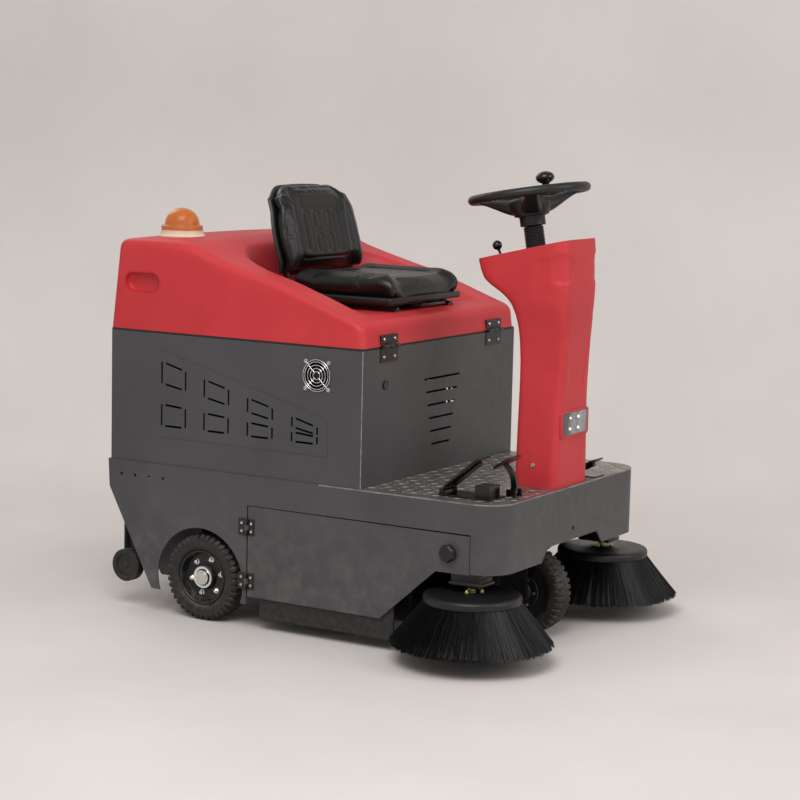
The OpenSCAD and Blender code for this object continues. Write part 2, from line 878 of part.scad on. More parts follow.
module side_bristles(s) {
    top = disc_top - 22;
    color("black") translate([side_brush_x, s * side_brush_y, 0]) rotate_extrude() polygon([
        [88, top], [131, top], [bristle_r, bristle_z], [178, bristle_z]
    ]);
}

module side_brush_motor_right() { side_brush_motor(-1); }
module side_brush_motor_left() { side_brush_motor(1); }
module side_brush_disc_right() { side_brush_disc(-1); }
module side_brush_disc_left() { side_brush_disc(1); }
module side_bristles_right() { side_bristles(-1); }
module side_bristles_left() { side_bristles(1); }

// ---------------------------------------------------------------- hopper

hopper_axle = [-660, 122];

module hopper_outline(t) {
    polygon([
        [-690 + t, 350 - t], [-690 + t, 152 + t], [-606 + t, 146 + t], [-574 + t, 95 + t],
        [-430 + t * 3, 95 + t], [-430 + t * 3, 350 - t]
    ]);
}

module hopper_bin() {
    color("dimgray") {
        difference() {
            along_y(-350, 350) hopper_outline(0);
            along_y(-346, 346) hopper_outline(4);
        }
        block([-694, -375, 152], [-690, 375, 352]);
        both_sides() {
            block([-680, 350, 330], [-430, 395, 336]);
            difference() {
                block([-672, 320, 108], [-648, 326, 153.2]);
                rod_y(hopper_axle[0], 310, 330, hopper_axle[1], 8 + run_fit);
            }
            translate([-722, 140, 300]) rotate([0, 90, 0]) cylinder(r = 8, h = 30);
        }
        rod_y(-719.5, -150, 150, 300, 10);
    }
}

module hopper_wheels() {
    color("black") {
        rod_y(hopper_axle[0], -412, 412, hopper_axle[1], 8);
        both_sides() translate([hopper_axle[0], 384, hopper_axle[1]]) rotate([-90, 0, 0])
            difference() {
                cylinder(r = 48, h = 28);
                translate([0, 0, 24]) cylinder(r = 34, h = 5);
            }
    }
}

chassis_shell();
chassis_frame();
floor_plate();
rear_axle();
side_skirts();
pedal_bracket();
console_cover();
dash_panel();
headlight_lens();
steering_boot();
cabinet_shell();
hood_gasket();
fan_guard();
batteries();
motor_controller();
vacuum_fan();
hinge_leaves();
fasteners();
rear_tyre_right();
rear_tyre_left();
rear_rim_right();
rear_rim_left();
front_fork();
front_tyre();
front_hub_motor();
steering_wheel();
horn_button();
spinner_knob();
direction_lever();
key_switch();
emergency_stop();
accelerator_pedal();
brake_pedal();
flap_pedal();
cabinet_lock();
cooling_fan();
hood_shell();
hood_hinge_flaps();
beacon_base();
beacon_dome();
beacon_reflector();
seat_shell();
seat_pan_cushion();
seat_back_cushion();
seat_rails();
seat_lever();
door_right();
door_left();
door_knob_right();
door_knob_left();
main_brush_core();
main_brush_bristles();
side_brush_motor_right();
side_brush_motor_left();
side_brush_disc_right();
side_brush_disc_left();
side_bristles_right();
side_bristles_left();
hopper_bin();
hopper_wheels();
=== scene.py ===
"""The looks of a ride-on sweeper: moulded hood and console, vinyl seat, tyres, bristles, chequer
plate, painted sheet metal, lamps and small hardware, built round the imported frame."""
import math

import bmesh
import bpy
import numpy as np
from mathutils import Matrix, Vector


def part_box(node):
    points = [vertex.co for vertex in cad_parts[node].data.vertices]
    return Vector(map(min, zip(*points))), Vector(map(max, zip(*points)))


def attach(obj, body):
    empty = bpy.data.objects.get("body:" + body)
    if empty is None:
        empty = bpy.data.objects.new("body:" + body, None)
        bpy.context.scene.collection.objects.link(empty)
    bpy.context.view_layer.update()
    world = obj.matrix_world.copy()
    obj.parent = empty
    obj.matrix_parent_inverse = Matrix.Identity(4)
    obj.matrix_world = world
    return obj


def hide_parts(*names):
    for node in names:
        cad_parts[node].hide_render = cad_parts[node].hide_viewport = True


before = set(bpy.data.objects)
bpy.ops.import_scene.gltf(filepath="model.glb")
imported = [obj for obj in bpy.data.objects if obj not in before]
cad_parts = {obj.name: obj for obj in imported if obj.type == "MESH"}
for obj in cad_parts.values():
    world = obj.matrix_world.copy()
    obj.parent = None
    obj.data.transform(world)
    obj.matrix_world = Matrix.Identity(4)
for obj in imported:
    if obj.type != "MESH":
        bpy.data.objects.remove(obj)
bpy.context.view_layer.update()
MM = 0.001                     # the pieces below are drawn in millimetres
rng = np.random.default_rng(7)


def box(node):
    """Lowest and highest corner of a CAD node, in millimetres."""
    lo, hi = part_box(node)
    return np.array(lo) / MM, np.array(hi) / MM


def round_angles(count):
    """Evenly spaced angles once round a circle."""
    return np.linspace(0, 2 * math.pi, count, endpoint=False)


def word_of(side):
    return "left" if side > 0 else "right"


# ------------------------------------------------------------------ camera

CAMERA_AT = (3.30335, -5.48428, 1.48331)
CAMERA_LENS = 99.3
CAMERA_SHIFT = (-0.01304, -0.00374)


def make_camera():
    yaw, pitch, roll = 0.5342, 0.1311, 0.0237
    back = Vector((math.sin(yaw) * math.cos(pitch), -math.cos(yaw) * math.cos(pitch),
                   math.sin(pitch)))
    right = (-back).cross(Vector((0, 0, 1))).normalized()
    up = right.cross(-back)
    tilted_right = math.cos(roll) * right + math.sin(roll) * up
    tilted_up = math.cos(roll) * up - math.sin(roll) * right
    data = bpy.data.cameras.new("camera")
    data.sensor_width = 36
    data.lens = CAMERA_LENS
    data.shift_x, data.shift_y = CAMERA_SHIFT
    data.clip_end = 60
    cam = bpy.data.objects.new("camera", data)
    turn = Matrix((tilted_right, tilted_up, back)).transposed()
    cam.matrix_world = Matrix.Translation(CAMERA_AT) @ turn.to_4x4()
    bpy.context.scene.collection.objects.link(cam)
    bpy.context.scene.camera = cam


make_camera()


# ------------------------------------------------------------------ materials

class Nodes:
    """A short way to write a material's node tree."""

    def __init__(self, name):
        self.material = bpy.data.materials.new(name)
        self.material.use_nodes = True
        self.tree = self.material.node_tree
        self.shader = self.tree.nodes["Principled BSDF"]
        self.coords = self.tree.nodes.new("ShaderNodeTexCoord").outputs["Object"]

    def add(self, kind, inputs=None, **settings):
        node = self.tree.nodes.new(kind)
        for key, value in settings.items():
            setattr(node, key, value)
        for key, value in (inputs or {}).items():
            self.put(value, node.inputs[key])
        return node

    def put(self, value, socket):
        if isinstance(value, bpy.types.NodeSocket):
            self.tree.links.new(value, socket)
        else:
            socket.default_value = value

    def noise(self, scale, detail=3.0, rough=0.55, coords=None):
        return self.add("ShaderNodeTexNoise", {"Vector": coords or self.coords, "Scale": scale,
                                               "Detail": detail, "Roughness": rough}).outputs[0]

    def spread(self, value, low, high, to_low=0.0, to_high=1.0):
        return self.add("ShaderNodeMapRange", {0: value, 1: low, 2: high, 3: to_low,
                                               4: to_high}).outputs[0]

    def mix(self, factor, a, b):
        node = self.add("ShaderNodeMix", data_type="RGBA")
        self.put(factor, node.inputs[0])
        self.put(a, node.inputs[6])
        self.put(b, node.inputs[7])
        return node.outputs[2]

    def math(self, how, a, b=0.0):
        node = self.add("ShaderNodeMath", operation=how)
        self.put(a, node.inputs[0])
        self.put(b, node.inputs[1])
        return node.outputs[0]

    def bump(self, height, strength, distance, normal=None):
        node = self.add("ShaderNodeBump", {"Height": height, "Strength": strength,
                                           "Distance": distance})
        if normal:
            self.put(normal, node.inputs["Normal"])
        return node.outputs[0]

    def axis(self, name, coords=None):
        return self.add("ShaderNodeSeparateXYZ", {0: coords or self.coords}).outputs[name]

    def finish(self, colour, rough, normal, **constants):
        """Joins the shader up; constants name the sockets that stay plain numbers."""
        self.put(colour, self.shader.inputs["Base Color"])
        self.put(rough, self.shader.inputs["Roughness"])
        self.put(normal, self.shader.inputs["Normal"])
        for key, value in constants.items():
            self.shader.inputs[key.replace("_", " ")].default_value = value
        return self.material


def rgb(r, g, b):
    return (r, g, b, 1.0)


def surface(name, colour, rough, metal=0.0, grain=900, depth=0.00008, tint=0.12, dust=0.0,
            wear=0.1, **shader):
    """Paint, plastic, rubber or metal: mottled colour, uneven gloss, fine grain and dust."""
    n = Nodes(name)
    fine = n.noise(grain, 2.0)
    broad = n.noise(7, 5.0)
    middle = n.noise(60, 4.0)
    dark = rgb(*(c * (1 - tint) for c in colour))
    light = rgb(*(min(1, c * (1 + tint)) for c in colour))
    base = n.mix(n.spread(broad, 0.3, 0.7), dark, light)
    base = n.mix(n.spread(fine, 0.25, 0.75, 0, 0.35), base, rgb(*(c * 0.72 for c in colour)))
    if dust:
        up = n.axis("Z", n.add("ShaderNodeNewGeometry").outputs["Normal"])
        settled = n.math("MULTIPLY", n.spread(up, -0.2, 1.0), n.spread(middle, 0.35, 0.75))
        low = n.spread(n.axis("Z"), 0.45, 0.0, 0.15, 1.0)
        amount = n.math("MULTIPLY", n.math("MULTIPLY", settled, low), dust)
        base = n.mix(amount, base, rgb(0.34, 0.31, 0.28))
    gloss = n.spread(middle, 0.25, 0.75, rough - wear * 0.5, rough + wear * 0.5)
    soft = n.bump(middle, 0.15, depth * 4)
    return n.finish(base, gloss, n.bump(fine, 0.6, depth, soft), Metallic=metal, **shader)


def painted_sheet():
    """Dark grey powder coat, with a painted highlight along the cabinet's folded corner, broken up
    by noise.
    """
    n = Nodes("grey_powder_coat")
    lo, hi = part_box("cabinet_shell")
    fine = n.noise(1300, 2.0)
    peel = n.noise(420, 2.0)
    broad = n.noise(4, 4.0)
    base = n.mix(n.spread(broad, 0.3, 0.7), rgb(0.050, 0.050, 0.054), rgb(0.064, 0.063, 0.068))
    base = n.mix(n.spread(fine, 0.55, 0.8, 0, 0.5), base, rgb(0.115, 0.11, 0.112))
    near_x = n.spread(n.math("ABSOLUTE", n.math("SUBTRACT", n.axis("X"), hi.x)),
                      0.0004, 0.0022, 1, 0)
    near_y = n.spread(n.math("SUBTRACT", hi.y, n.math("ABSOLUTE", n.axis("Y"))),
                      0.0004, 0.0026, 1, 0)
    above = n.spread(n.axis("Z"), lo.z, lo.z + 0.002)
    corner = n.math("MULTIPLY", n.math("MULTIPLY", near_x, near_y), above)
    # painted highlight: a bright streak along the folded corner, broken up by noise
    fold_highlight = n.math("MULTIPLY", corner, n.spread(n.noise(90, 4.0), 0.35, 0.6, 0.4, 0.9))
    base = n.mix(fold_highlight, base, rgb(0.42, 0.40, 0.39))
    up = n.axis("Z", n.add("ShaderNodeNewGeometry").outputs["Normal"])
    low = n.spread(n.axis("Z"), 0.42, 0.05, 0.0, 0.5)
    dusty = n.math("MULTIPLY", low, n.spread(n.noise(24, 6.0), 0.4, 0.75))
    dusty = n.math("MULTIPLY", dusty, n.spread(up, -0.9, 0.9, 0.4, 1.0))
    base = n.mix(dusty, base, rgb(0.24, 0.22, 0.2))
    gloss = n.spread(n.noise(35, 4.0), 0.25, 0.75, 0.40, 0.54)
    skin = n.bump(fine, 0.5, 0.00007, n.bump(peel, 0.35, 0.00012))
    return n.finish(base, gloss, skin, Specular_IOR_Level=0.45)


def chequer_metal():
    """Scuffed mill-finish aluminium, darker where feet leave dirt between the bumps."""
    n = Nodes("chequer_plate_metal")
    dirt = n.spread(n.noise(26, 6.0, 0.65), 0.35, 0.7)
    scratch = n.add("ShaderNodeTexNoise", {
        "Vector": n.add("ShaderNodeMapping", {"Vector": n.coords, "Rotation": (0, 0, 0.6),
                                              "Scale": (40, 700, 1)}).outputs[0],
        "Scale": 1.0, "Detail": 4.0}).outputs[0]
    base = n.mix(dirt, rgb(0.40, 0.39, 0.37), rgb(0.17, 0.16, 0.15))
    height = n.spread(n.axis("Z"), 0.4412, 0.4422)
    base = n.mix(height, base, rgb(0.62, 0.61, 0.59))
    return n.finish(base, n.spread(scratch, 0.3, 0.7, 0.28, 0.5), n.bump(scratch, 0.3, 0.00005),
                    Metallic=0.85)


def vinyl_skin():
    """Black seat vinyl: pebble grain from voronoi cells, a soft sheen and faint dust."""
    n = Nodes("seat_vinyl")
    cells = n.add("ShaderNodeTexVoronoi", {"Vector": n.coords, "Scale": 620.0},
                  feature="SMOOTH_F1").outputs[0]
    crease = n.noise(140, 5.0)
    base = n.mix(n.spread(n.noise(12, 5.0), 0.35, 0.7), rgb(0.004, 0.004, 0.0042),
                 rgb(0.008, 0.008, 0.0082))
    skin = n.bump(cells, 0.35, 0.00018, n.bump(crease, 0.12, 0.0006))
    return n.finish(base, n.spread(crease, 0.3, 0.7, 0.30, 0.42), skin,
                    Specular_IOR_Level=0.34, Coat_Weight=0.1, Coat_Roughness=0.22)


def red_plastic():
    """Rotomoulded red polyethylene: fine pebble, slight cloudiness, scattered scuffs."""
    n = Nodes("red_polyethylene")
    pebble = n.noise(520, 3.0, 0.6)
    cloud = n.noise(5, 6.0, 0.6)
    speck = n.noise(1500, 1.0)
    base = n.mix(n.spread(cloud, 0.3, 0.72), rgb(0.47, 0.022, 0.028), rgb(0.56, 0.034, 0.042))
    base = n.mix(n.spread(speck, 0.55, 0.8, 0, 0.35), base, rgb(0.72, 0.10, 0.11))
    scuff = n.spread(n.noise(46, 8.0, 0.7), 0.66, 0.8, 0, 0.3)
    base = n.mix(scuff, base, rgb(0.66, 0.14, 0.14))
    skin = n.bump(pebble, 0.5, 0.00022, n.bump(cloud, 0.1, 0.004))
    return n.finish(base, n.spread(pebble, 0.3, 0.7, 0.44, 0.56), skin, Specular_IOR_Level=0.4)


def clear(name, colour, rough, through):
    """Clear or tinted plastic; through is how much light passes."""
    n = Nodes(name)
    streak = n.noise(90, 3.0)
    base = n.mix(n.spread(streak, 0.3, 0.7), rgb(*colour), rgb(*(c * 0.85 for c in colour)))
    return n.finish(base, n.spread(streak, 0.3, 0.7, rough, rough + 0.08),
                    n.bump(n.noise(400), 0.1, 0.0001), Transmission_Weight=through, IOR=1.3)


def bristle_filament():
    n = Nodes("bristle_filament")
    strand = n.noise(300, 2.0)
    base = n.mix(n.spread(strand, 0.35, 0.7), rgb(0.003, 0.003, 0.003), rgb(0.009, 0.009, 0.009))
    low = n.math("MULTIPLY", n.spread(n.axis("Z"), 0.12, 0.04), n.spread(n.noise(40, 5), .4, .7))
    base = n.mix(n.math("MULTIPLY", low, 0.16), base, rgb(0.07, 0.066, 0.06))
    return n.finish(base, n.spread(strand, 0.3, 0.7, 0.38, 0.55),
                    n.bump(n.noise(1200), 0.3, 0.0001), Specular_IOR_Level=0.22)


GREY = painted_sheet()
RED = red_plastic()
VINYL = vinyl_skin()
CHEQUER = chequer_metal()
BRISTLE = bristle_filament()
BLACK = surface("black_powder_coat", (0.006, 0.006, 0.006), 0.40, grain=800, dust=0.3)
PLASTIC = surface("black_plastic", (0.0055, 0.0055, 0.0058), 0.44, grain=700, depth=0.0001)
GLOSS = surface("gloss_black", (0.004, 0.004, 0.004), 0.18, grain=300, depth=0.00003,
                wear=0.08)
RUBBER = surface("black_rubber", (0.008, 0.008, 0.008), 0.62, grain=500, depth=0.0002,
                 dust=0.5)
TYRE = surface("tyre_rubber", (0.009, 0.0088, 0.0086), 0.68, grain=450, depth=0.0003, dust=0.6)
ZINC = surface("bright_zinc", (0.66, 0.65, 0.61), 0.26, metal=1.0, grain=600, depth=0.00003)
GOLD_ZINC = surface("yellow_zinc", (0.62, 0.55, 0.22), 0.28, metal=1.0, grain=500,
                    depth=0.00004)
CHROME = surface("chrome", (0.82, 0.82, 0.83), 0.1, metal=1.0, grain=200, depth=0.00001,
                 wear=0.06, tint=0.04)
CAST = surface("cast_aluminium", (0.36, 0.36, 0.37), 0.45, metal=0.9, grain=350, depth=0.0002)
CREAM = surface("cream_plastic", (0.76, 0.62, 0.47), 0.4, grain=400, dust=0.1)
BUTTON = surface("red_button", (0.55, 0.015, 0.015), 0.22, grain=300, depth=0.00003)
BATTERY = surface("battery_case", (0.02, 0.02, 0.022), 0.5, grain=500)
LED = surface("led_yellow_white", (0.9, 0.85, 0.7), 0.3, grain=200, depth=0.00001,
              Emission_Color=(1.0, 0.96, 0.86, 1), Emission_Strength=2.2)
SILVER = surface("lamp_reflector", (0.55, 0.55, 0.56), 0.22, metal=0.9, grain=300,
                 depth=0.00002)
AMBER = clear("amber_lens", (1.0, 0.42, 0.13), 0.08, 0.72)
LENS = clear("clear_lens", (0.95, 0.96, 0.97), 0.05, 0.95)


# ------------------------------------------------------------------ mesh tools

class Shape:
    """Collects vertices (in millimetres) and faces of one piece."""

    def __init__(self):
        self.points, self.faces = [], []

    def add(self, points, faces, place=None):
        points = np.asarray(points, float)
        if place is not None:
            turn = np.array(place.to_3x3())
            points = points @ turn.T + np.array(place.translation)
        start = len(self.points)
        self.points.extend(points.tolist())
        self.faces.extend([tuple(start + i for i in f) for f in faces])
        return self

    def revolve(self, profile, place=None, segments=48, shape=None):
        """profile is a list of (radius, height); shape may move the grid of points."""
        profile = np.asarray(profile, float)
        angles = round_angles(segments)
        r = np.repeat(profile[:, :1], segments, 1)
        h = np.repeat(profile[:, 1:], segments, 1)
        if shape:
            r, h = shape(r, h, np.repeat(angles[None], len(profile), 0))
        grid = np.stack([r * np.cos(angles), r * np.sin(angles), h], -1)
        return self.add(grid.reshape(-1, 3), quads(len(profile), segments, True), place)

    def rounded(self, low, high, radius, place=None, segments=3):
        """A box with rounded edges."""
        low, high = np.asarray(low, float), np.asarray(high, float)
        bm = bmesh.new()
        bmesh.ops.create_cube(bm, size=1)
        for v in bm.verts:
            v.co = Vector(low + (np.array(v.co) + 0.5) * (high - low))
        bmesh.ops.bevel(bm, geom=bm.edges[:], offset=radius, segments=segments,
                        affect="EDGES", profile=0.5)
        bm.verts.index_update()
        points = [tuple(v.co) for v in bm.verts]
        faces = [[v.index for v in f.verts] for f in bm.faces]
        bm.free()
        return self.add(points, faces, place)

    def tube(self, path, radius, sides=10, closed=False, place=None):
        """A round bar along a path of points; radius is a number or one per point."""
        path = np.asarray(path, float)
        count = len(path)
        radius = np.broadcast_to(radius, count)
        ahead = np.roll(path, -1, 0) - np.roll(path, 1, 0)
        if not closed:
            ahead[0], ahead[-1] = path[1] - path[0], path[-1] - path[-2]
        ahead /= np.linalg.norm(ahead, axis=1)[:, None]
        side = np.cross(ahead, [0.02, 0.03, 1.0])
        side /= np.linalg.norm(side, axis=1)[:, None]
        up = np.cross(side, ahead)
        a = round_angles(sides)
        ring = (side[:, None] * np.cos(a)[:, None] + up[:, None] * np.sin(a)[:, None])
        grid = path[:, None] + ring * np.asarray(radius)[:, None, None]
        faces = quads(count, sides, True)
        faces += last_to_first(count, sides) if closed else end_caps(count, sides)
        return self.add(grid.reshape(-1, 3), faces, place)

    def piece(self, name, body, material, slot=None, replaces=(), angle=35):
        mesh = bpy.data.meshes.new(name)
        mesh.from_pydata((np.array(self.points) * MM).tolist(), [], self.faces)
        bm = bmesh.new()
        bm.from_mesh(mesh)
        bmesh.ops.remove_doubles(bm, verts=bm.verts, dist=1e-6)
        bmesh.ops.recalc_face_normals(bm, faces=bm.faces)
        bm.to_mesh(mesh)
        bm.free()
        mesh.shade_smooth()
        mesh.set_sharp_from_angle(angle=math.radians(angle))
        mesh.materials.append(material)
        obj = bpy.data.objects.new(name, mesh)
        bpy.context.scene.collection.objects.link(obj)
        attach(obj, body)
        if replaces:
            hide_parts(*replaces)
        return obj


def quads(rows, cols, wrap=False):
    """Faces of a grid of rows x cols points; wrap joins the last column to the first."""
    out = []
    for i in range(rows - 1):
        for j in range(cols if wrap else cols - 1):
            k = (j + 1) % cols
            out.append((i * cols + j, i * cols + k, (i + 1) * cols + k, (i + 1) * cols + j))
    return out


def last_to_first(rows, cols):
    """Faces that join a grid's last row to its first."""
    last = (rows - 1) * cols
    return [(last + j, last + (j + 1) % cols, (j + 1) % cols, j) for j in range(cols)]


def end_caps(rows, cols):
    """The two faces that close a tube's ends."""
    return [tuple(range(cols)), tuple(range(rows * cols - 1, (rows - 1) * cols - 1, -1))]


def place_at(origin, axis=(0, 0, 1), ahead=(1, 0, 0)):
    """A placing whose Z is along axis and whose X is as near as may be to ahead."""
    z = Vector(axis).normalized()
    x = Vector(ahead) - Vector(ahead).dot(z) * z
    x.normalize()
    turn = Matrix((x, z.cross(x), z)).transposed().to_4x4()
    return Matrix.Translation(Vector(origin)) @ turn


def arc(cx, cy, r, start, end, steps):
    a = np.radians(np.linspace(start, end, steps))
    return [(cx + r * math.cos(t), cy + r * math.sin(t)) for t in a]


def smooth(value, low, high):
    t = np.clip((value - low) / (high - low), 0, 1)
    return t * t * (3 - 2 * t)


def screw_head(shape, place, r=4.5, h=2.6):
    shape.revolve([(0, -0.3), (r, -0.3), (r, h * 0.35), (r * 0.85, h * 0.8), (r * 0.55, h),
                   (r * 0.4, h), (r * 0.36, h * 0.35), (0, h * 0.35)], place, 12)


def paint(node, material, bevel=0.0, angle=40):
    """Keeps a CAD node, with its material and, where asked, softened edges."""
    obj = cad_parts[node]
    obj.data.materials.clear()
    obj.data.materials.append(material)
    if bevel:
        weld = obj.modifiers.new("weld", "WELD")
        weld.merge_threshold = 0.00002
        soft = obj.modifiers.new("bevel", "BEVEL")
        soft.width = bevel * MM
        soft.segments = 2
        soft.limit_method = "ANGLE"
        soft.angle_limit = math.radians(angle)
        soft.harden_normals = True


# ------------------------------------------------------------------ hood

hood_lo, hood_hi = box("hood_shell")
WELL_FLOOR = box("seat_rails")[0][2]
HOLD_X, HOLD_Z, HOLD_HALF, HOLD_R = -592.0, 962.0, 34.0, 28.0
HOOD_SIDE = 434 - 0.025 * (HOLD_Z - hood_lo[2])
CREST = np.array([
    (-702, 1080), (-640, 1086), (-560, 1087), (-460, 1087), (-415, 1078), (-357, 1052),
    (-239, 1018), (-115, 985), (-22, 953), (67, 919), (118, 901), (165, 884)
])


def crest(x):
    """Height of the hood's side rim, eased between its points."""
    spread = np.linspace(-32, 32, 9)
    return sum(np.interp(x + s, CREST[:, 0], CREST[:, 1]) for s in spread) / len(spread)


def hood_top(x, y):
    rear, half, corner = -366.0, 300.0, 175.0
    dx = np.maximum(rear + corner - x, 0)
    dy = np.maximum(np.abs(y) - (half - corner), 0)
    edge = np.where(dx > 0, np.hypot(dx, dy), np.where(dy > 0, dy, 0)) - corner
    rim = crest(x) + 5 * (1 - (np.abs(y) / 434) ** 2) * smooth(-x, 380, 480)
    floor = np.minimum(WELL_FLOOR, rim)
    wall = smooth(edge, -20, 34)
    return floor + (rim - floor) * wall


def hood_ring(u, v, z, inset, corner):
    """Points of the hood's outline at square position u, v (-1 to 1) and height z."""
    x0 = hood_lo[0] - 3 + 0.095 * (z - hood_lo[2]) + inset
    x1 = hood_hi[0] - 0.12 * (z - hood_lo[2]) - inset
    half = hood_hi[1] - 0.025 * (z - hood_lo[2]) - inset
    x = x0 + (x1 - x0) * (u + 1) / 2
    y = half * v
    r = np.maximum(corner - inset, 4)
    qx = np.maximum(np.abs(x - (x0 + x1) / 2) - ((x1 - x0) / 2 - r), 0)
    qy = np.maximum(np.abs(y) - (half - r), 0)
    size = np.maximum(np.hypot(qx, qy), 1e-6)
    keep = np.where((qx > 0) & (qy > 0), np.maximum(qx, qy) / size, 1)
    x = x - np.sign(x - (x0 + x1) / 2) * qx * (1 - keep)
    y = y - np.sign(y) * qy * (1 - keep)
    return x, y


def hold_rings(side, steps, count=40):
    """Outlines of the hand hold, a slot with round ends; steps are (grow, depth) pairs."""
    a = round_angles(count)
    rings = [np.stack([HOLD_X + np.sign(np.cos(a)) * HOLD_HALF + (HOLD_R + grow) * np.cos(a),
                       np.full(count, side * (HOOD_SIDE - depth)),
                       HOLD_Z + (HOLD_R + grow) * np.sin(a)], -1) for grow, depth in steps]
    return np.concatenate(rings), count


def make_hood():
    nu, nv, round_r, corner = 84, 84, 26.0, 20.0
    u, v = np.meshgrid(np.linspace(-1, 1, nu), np.linspace(-1, 1, nv), indexing="ij")
    x, y = hood_ring(u, v, 1040.0, round_r, corner)
    z = hood_top(x, y)
    for _ in range(2):
        x, y = hood_ring(u, v, z, round_r, corner)
        z = hood_top(x, y)
    rim = ([(i, 0) for i in range(nu)] + [(nu - 1, j) for j in range(1, nv)]
           + [(i, nv - 1) for i in range(nu - 2, -1, -1)] + [(0, j) for j in range(nv - 2, 0, -1)])
    ui = np.array([u[p] for p in rim])
    vi = np.array([v[p] for p in rim])
    top = np.array([z[p] for p in rim])
    points = np.stack([x, y, z], -1).reshape(-1, 3).tolist()
    faces = quads(nu, nv)
    last = [i * nv + j for i, j in rim]
    levels = [("round", math.radians(a)) for a in (18, 36, 54, 72, 90)]
    levels += [("wall", t) for t in (0.1, 0.3, 0.5, 0.7, 0.9, 0.985, 1.0)]
    for kind, t in levels:
        if kind == "round":
            height, inset = top - round_r * (1 - math.cos(t)), round_r * (1 - math.sin(t))
        else:
            height, inset = (top - round_r) * (1 - t) + hood_lo[2] * t, 0.0
        px, py = hood_ring(ui, vi, height, inset, corner)
        start = len(points)
        points += np.stack([px, py, height], -1).tolist()
        here = list(range(start, start + len(rim)))
        count = len(rim)
        faces += [(last[k], last[(k + 1) % count], here[(k + 1) % count], here[k])
                  for k in range(count)]
        last = here
    shape = Shape().add(points, faces)
    hood = shape.piece("hood_cover", "hood", RED, "red_plastic", ["hood_shell"], 60)
    shell = hood.modifiers.new("wall", "SOLIDIFY")
    shell.thickness = 0.005
    shell.offset = -1
    for side in (-1, 1):
        points, count = hold_rings(side, [(0.8, 60), (0.8, -30)])
        cutter = Shape().add(points, quads(2, count, True) + end_caps(2, count))
        cutter_obj = cutter.piece("cutter", "hood", RED)
        cut = hood.modifiers.new("cut", "BOOLEAN")
        cut.object = cutter_obj
        cut.solver = "EXACT"
        bake(hood)
        bpy.data.objects.remove(cutter_obj)
        hand_hold(side)
    hood.data.set_sharp_from_angle(angle=math.radians(50))


def bake(obj):
    """Applies an object's modifiers to its mesh."""
    graph = bpy.context.evaluated_depsgraph_get()
    bpy.context.view_layer.update()
    graph.update()
    mesh = bpy.data.meshes.new_from_object(obj.evaluated_get(graph))
    obj.modifiers.clear()
    obj.data = mesh


def hand_hold(side):
    """The moulded pocket in the hood's side that fingers reach into."""
    steps = [(3.5, -0.4), (3.0, 0.2), (1.5, 0.9), (0.4, 2.4), (0, 5), (-1, 12), (-2.5, 17),
             (-6, 20.5), (-11, 22), (-18, 22.5), (-27.9, 22.5)]
    points, count = hold_rings(side, steps)
    pocket = Shape().add(points, quads(len(steps), count, True))
    pocket.piece("hand_hold_" + word_of(side), "hood", RED, "red_plastic", angle=60)


make_hood()


# ------------------------------------------------------------------ console

DECK = box("floor_plate")[1][2]
CONSOLE_LEVELS = np.array([
    # height, rear x, front x, half width
    (441, 457, 590, 104), (482, 457, 590, 104), (614, 456, 591, 96), (679, 455, 592, 91),
    (730, 455, 594, 88.5), (791, 454, 597, 87.5), (842, 451, 599, 88.5), (880, 447, 601, 92),
    (916, 439, 603, 98), (951, 423, 605, 104), (976, 394, 606, 107), (991, 364, 607, 108),
    (1011, 337, 607.5, 109), (1040, 324, 607.5, 109.5), (1064, 318, 606, 110),
    (1150, 304, 597, 110)
])
STEER_X = 460.0
DASH_X, DASH_Z, DASH_SINK = 318.0, 1064.0, 14.0     # the dash's rear edge, and how deep it lies
DASH_RISE = 62 / 262
DASH_MIDDLE = 462.0


def dash_height(x):
    """Height of the console's sloping top edge."""
    return DASH_Z + (x - DASH_X) * DASH_RISE


def console_section(z, a):
    """Point of the console's outline at height z and angle a, with rounded corners."""
    spread = np.linspace(-9, 9, 5)
    rear, front, half = (
        sum(np.interp(z + s, CONSOLE_LEVELS[:, 0], CONSOLE_LEVELS[:, k]) for s in spread) / 5
        for k in (1, 2, 3))
    cx, hx = (rear + front) / 2, (front - rear) / 2
    power = 8.5 - 1.5 * smooth(z, 820, 1040)
    c, s = np.cos(a), np.sin(a)
    x = cx + hx * np.sign(c) * np.abs(c) ** (2 / power)
    y = half * np.sign(s) * np.abs(s) ** (2 / power)
    return x, y


def console_relief(x, y, z):
    """How far the surface is pushed in: the front shield and the two round dimples."""
    reach = 47 + 63 * smooth(z, 700, 1010) ** 1.5 + 40 * smooth(z, 960, 1060)
    shield = smooth(reach - np.abs(y), -4, 4) * smooth(x, 500, 520) * smooth(z, 714, 726)
    shield *= 1 - smooth(z, 1066, 1084)
    dimple = sum(smooth(-np.hypot(y - s * 96, z - 1050), -44, -34) for s in (-1, 1))
    dimple = dimple * smooth(x, 560, 575)
    return 2.4 * shield + 3.4 * dimple


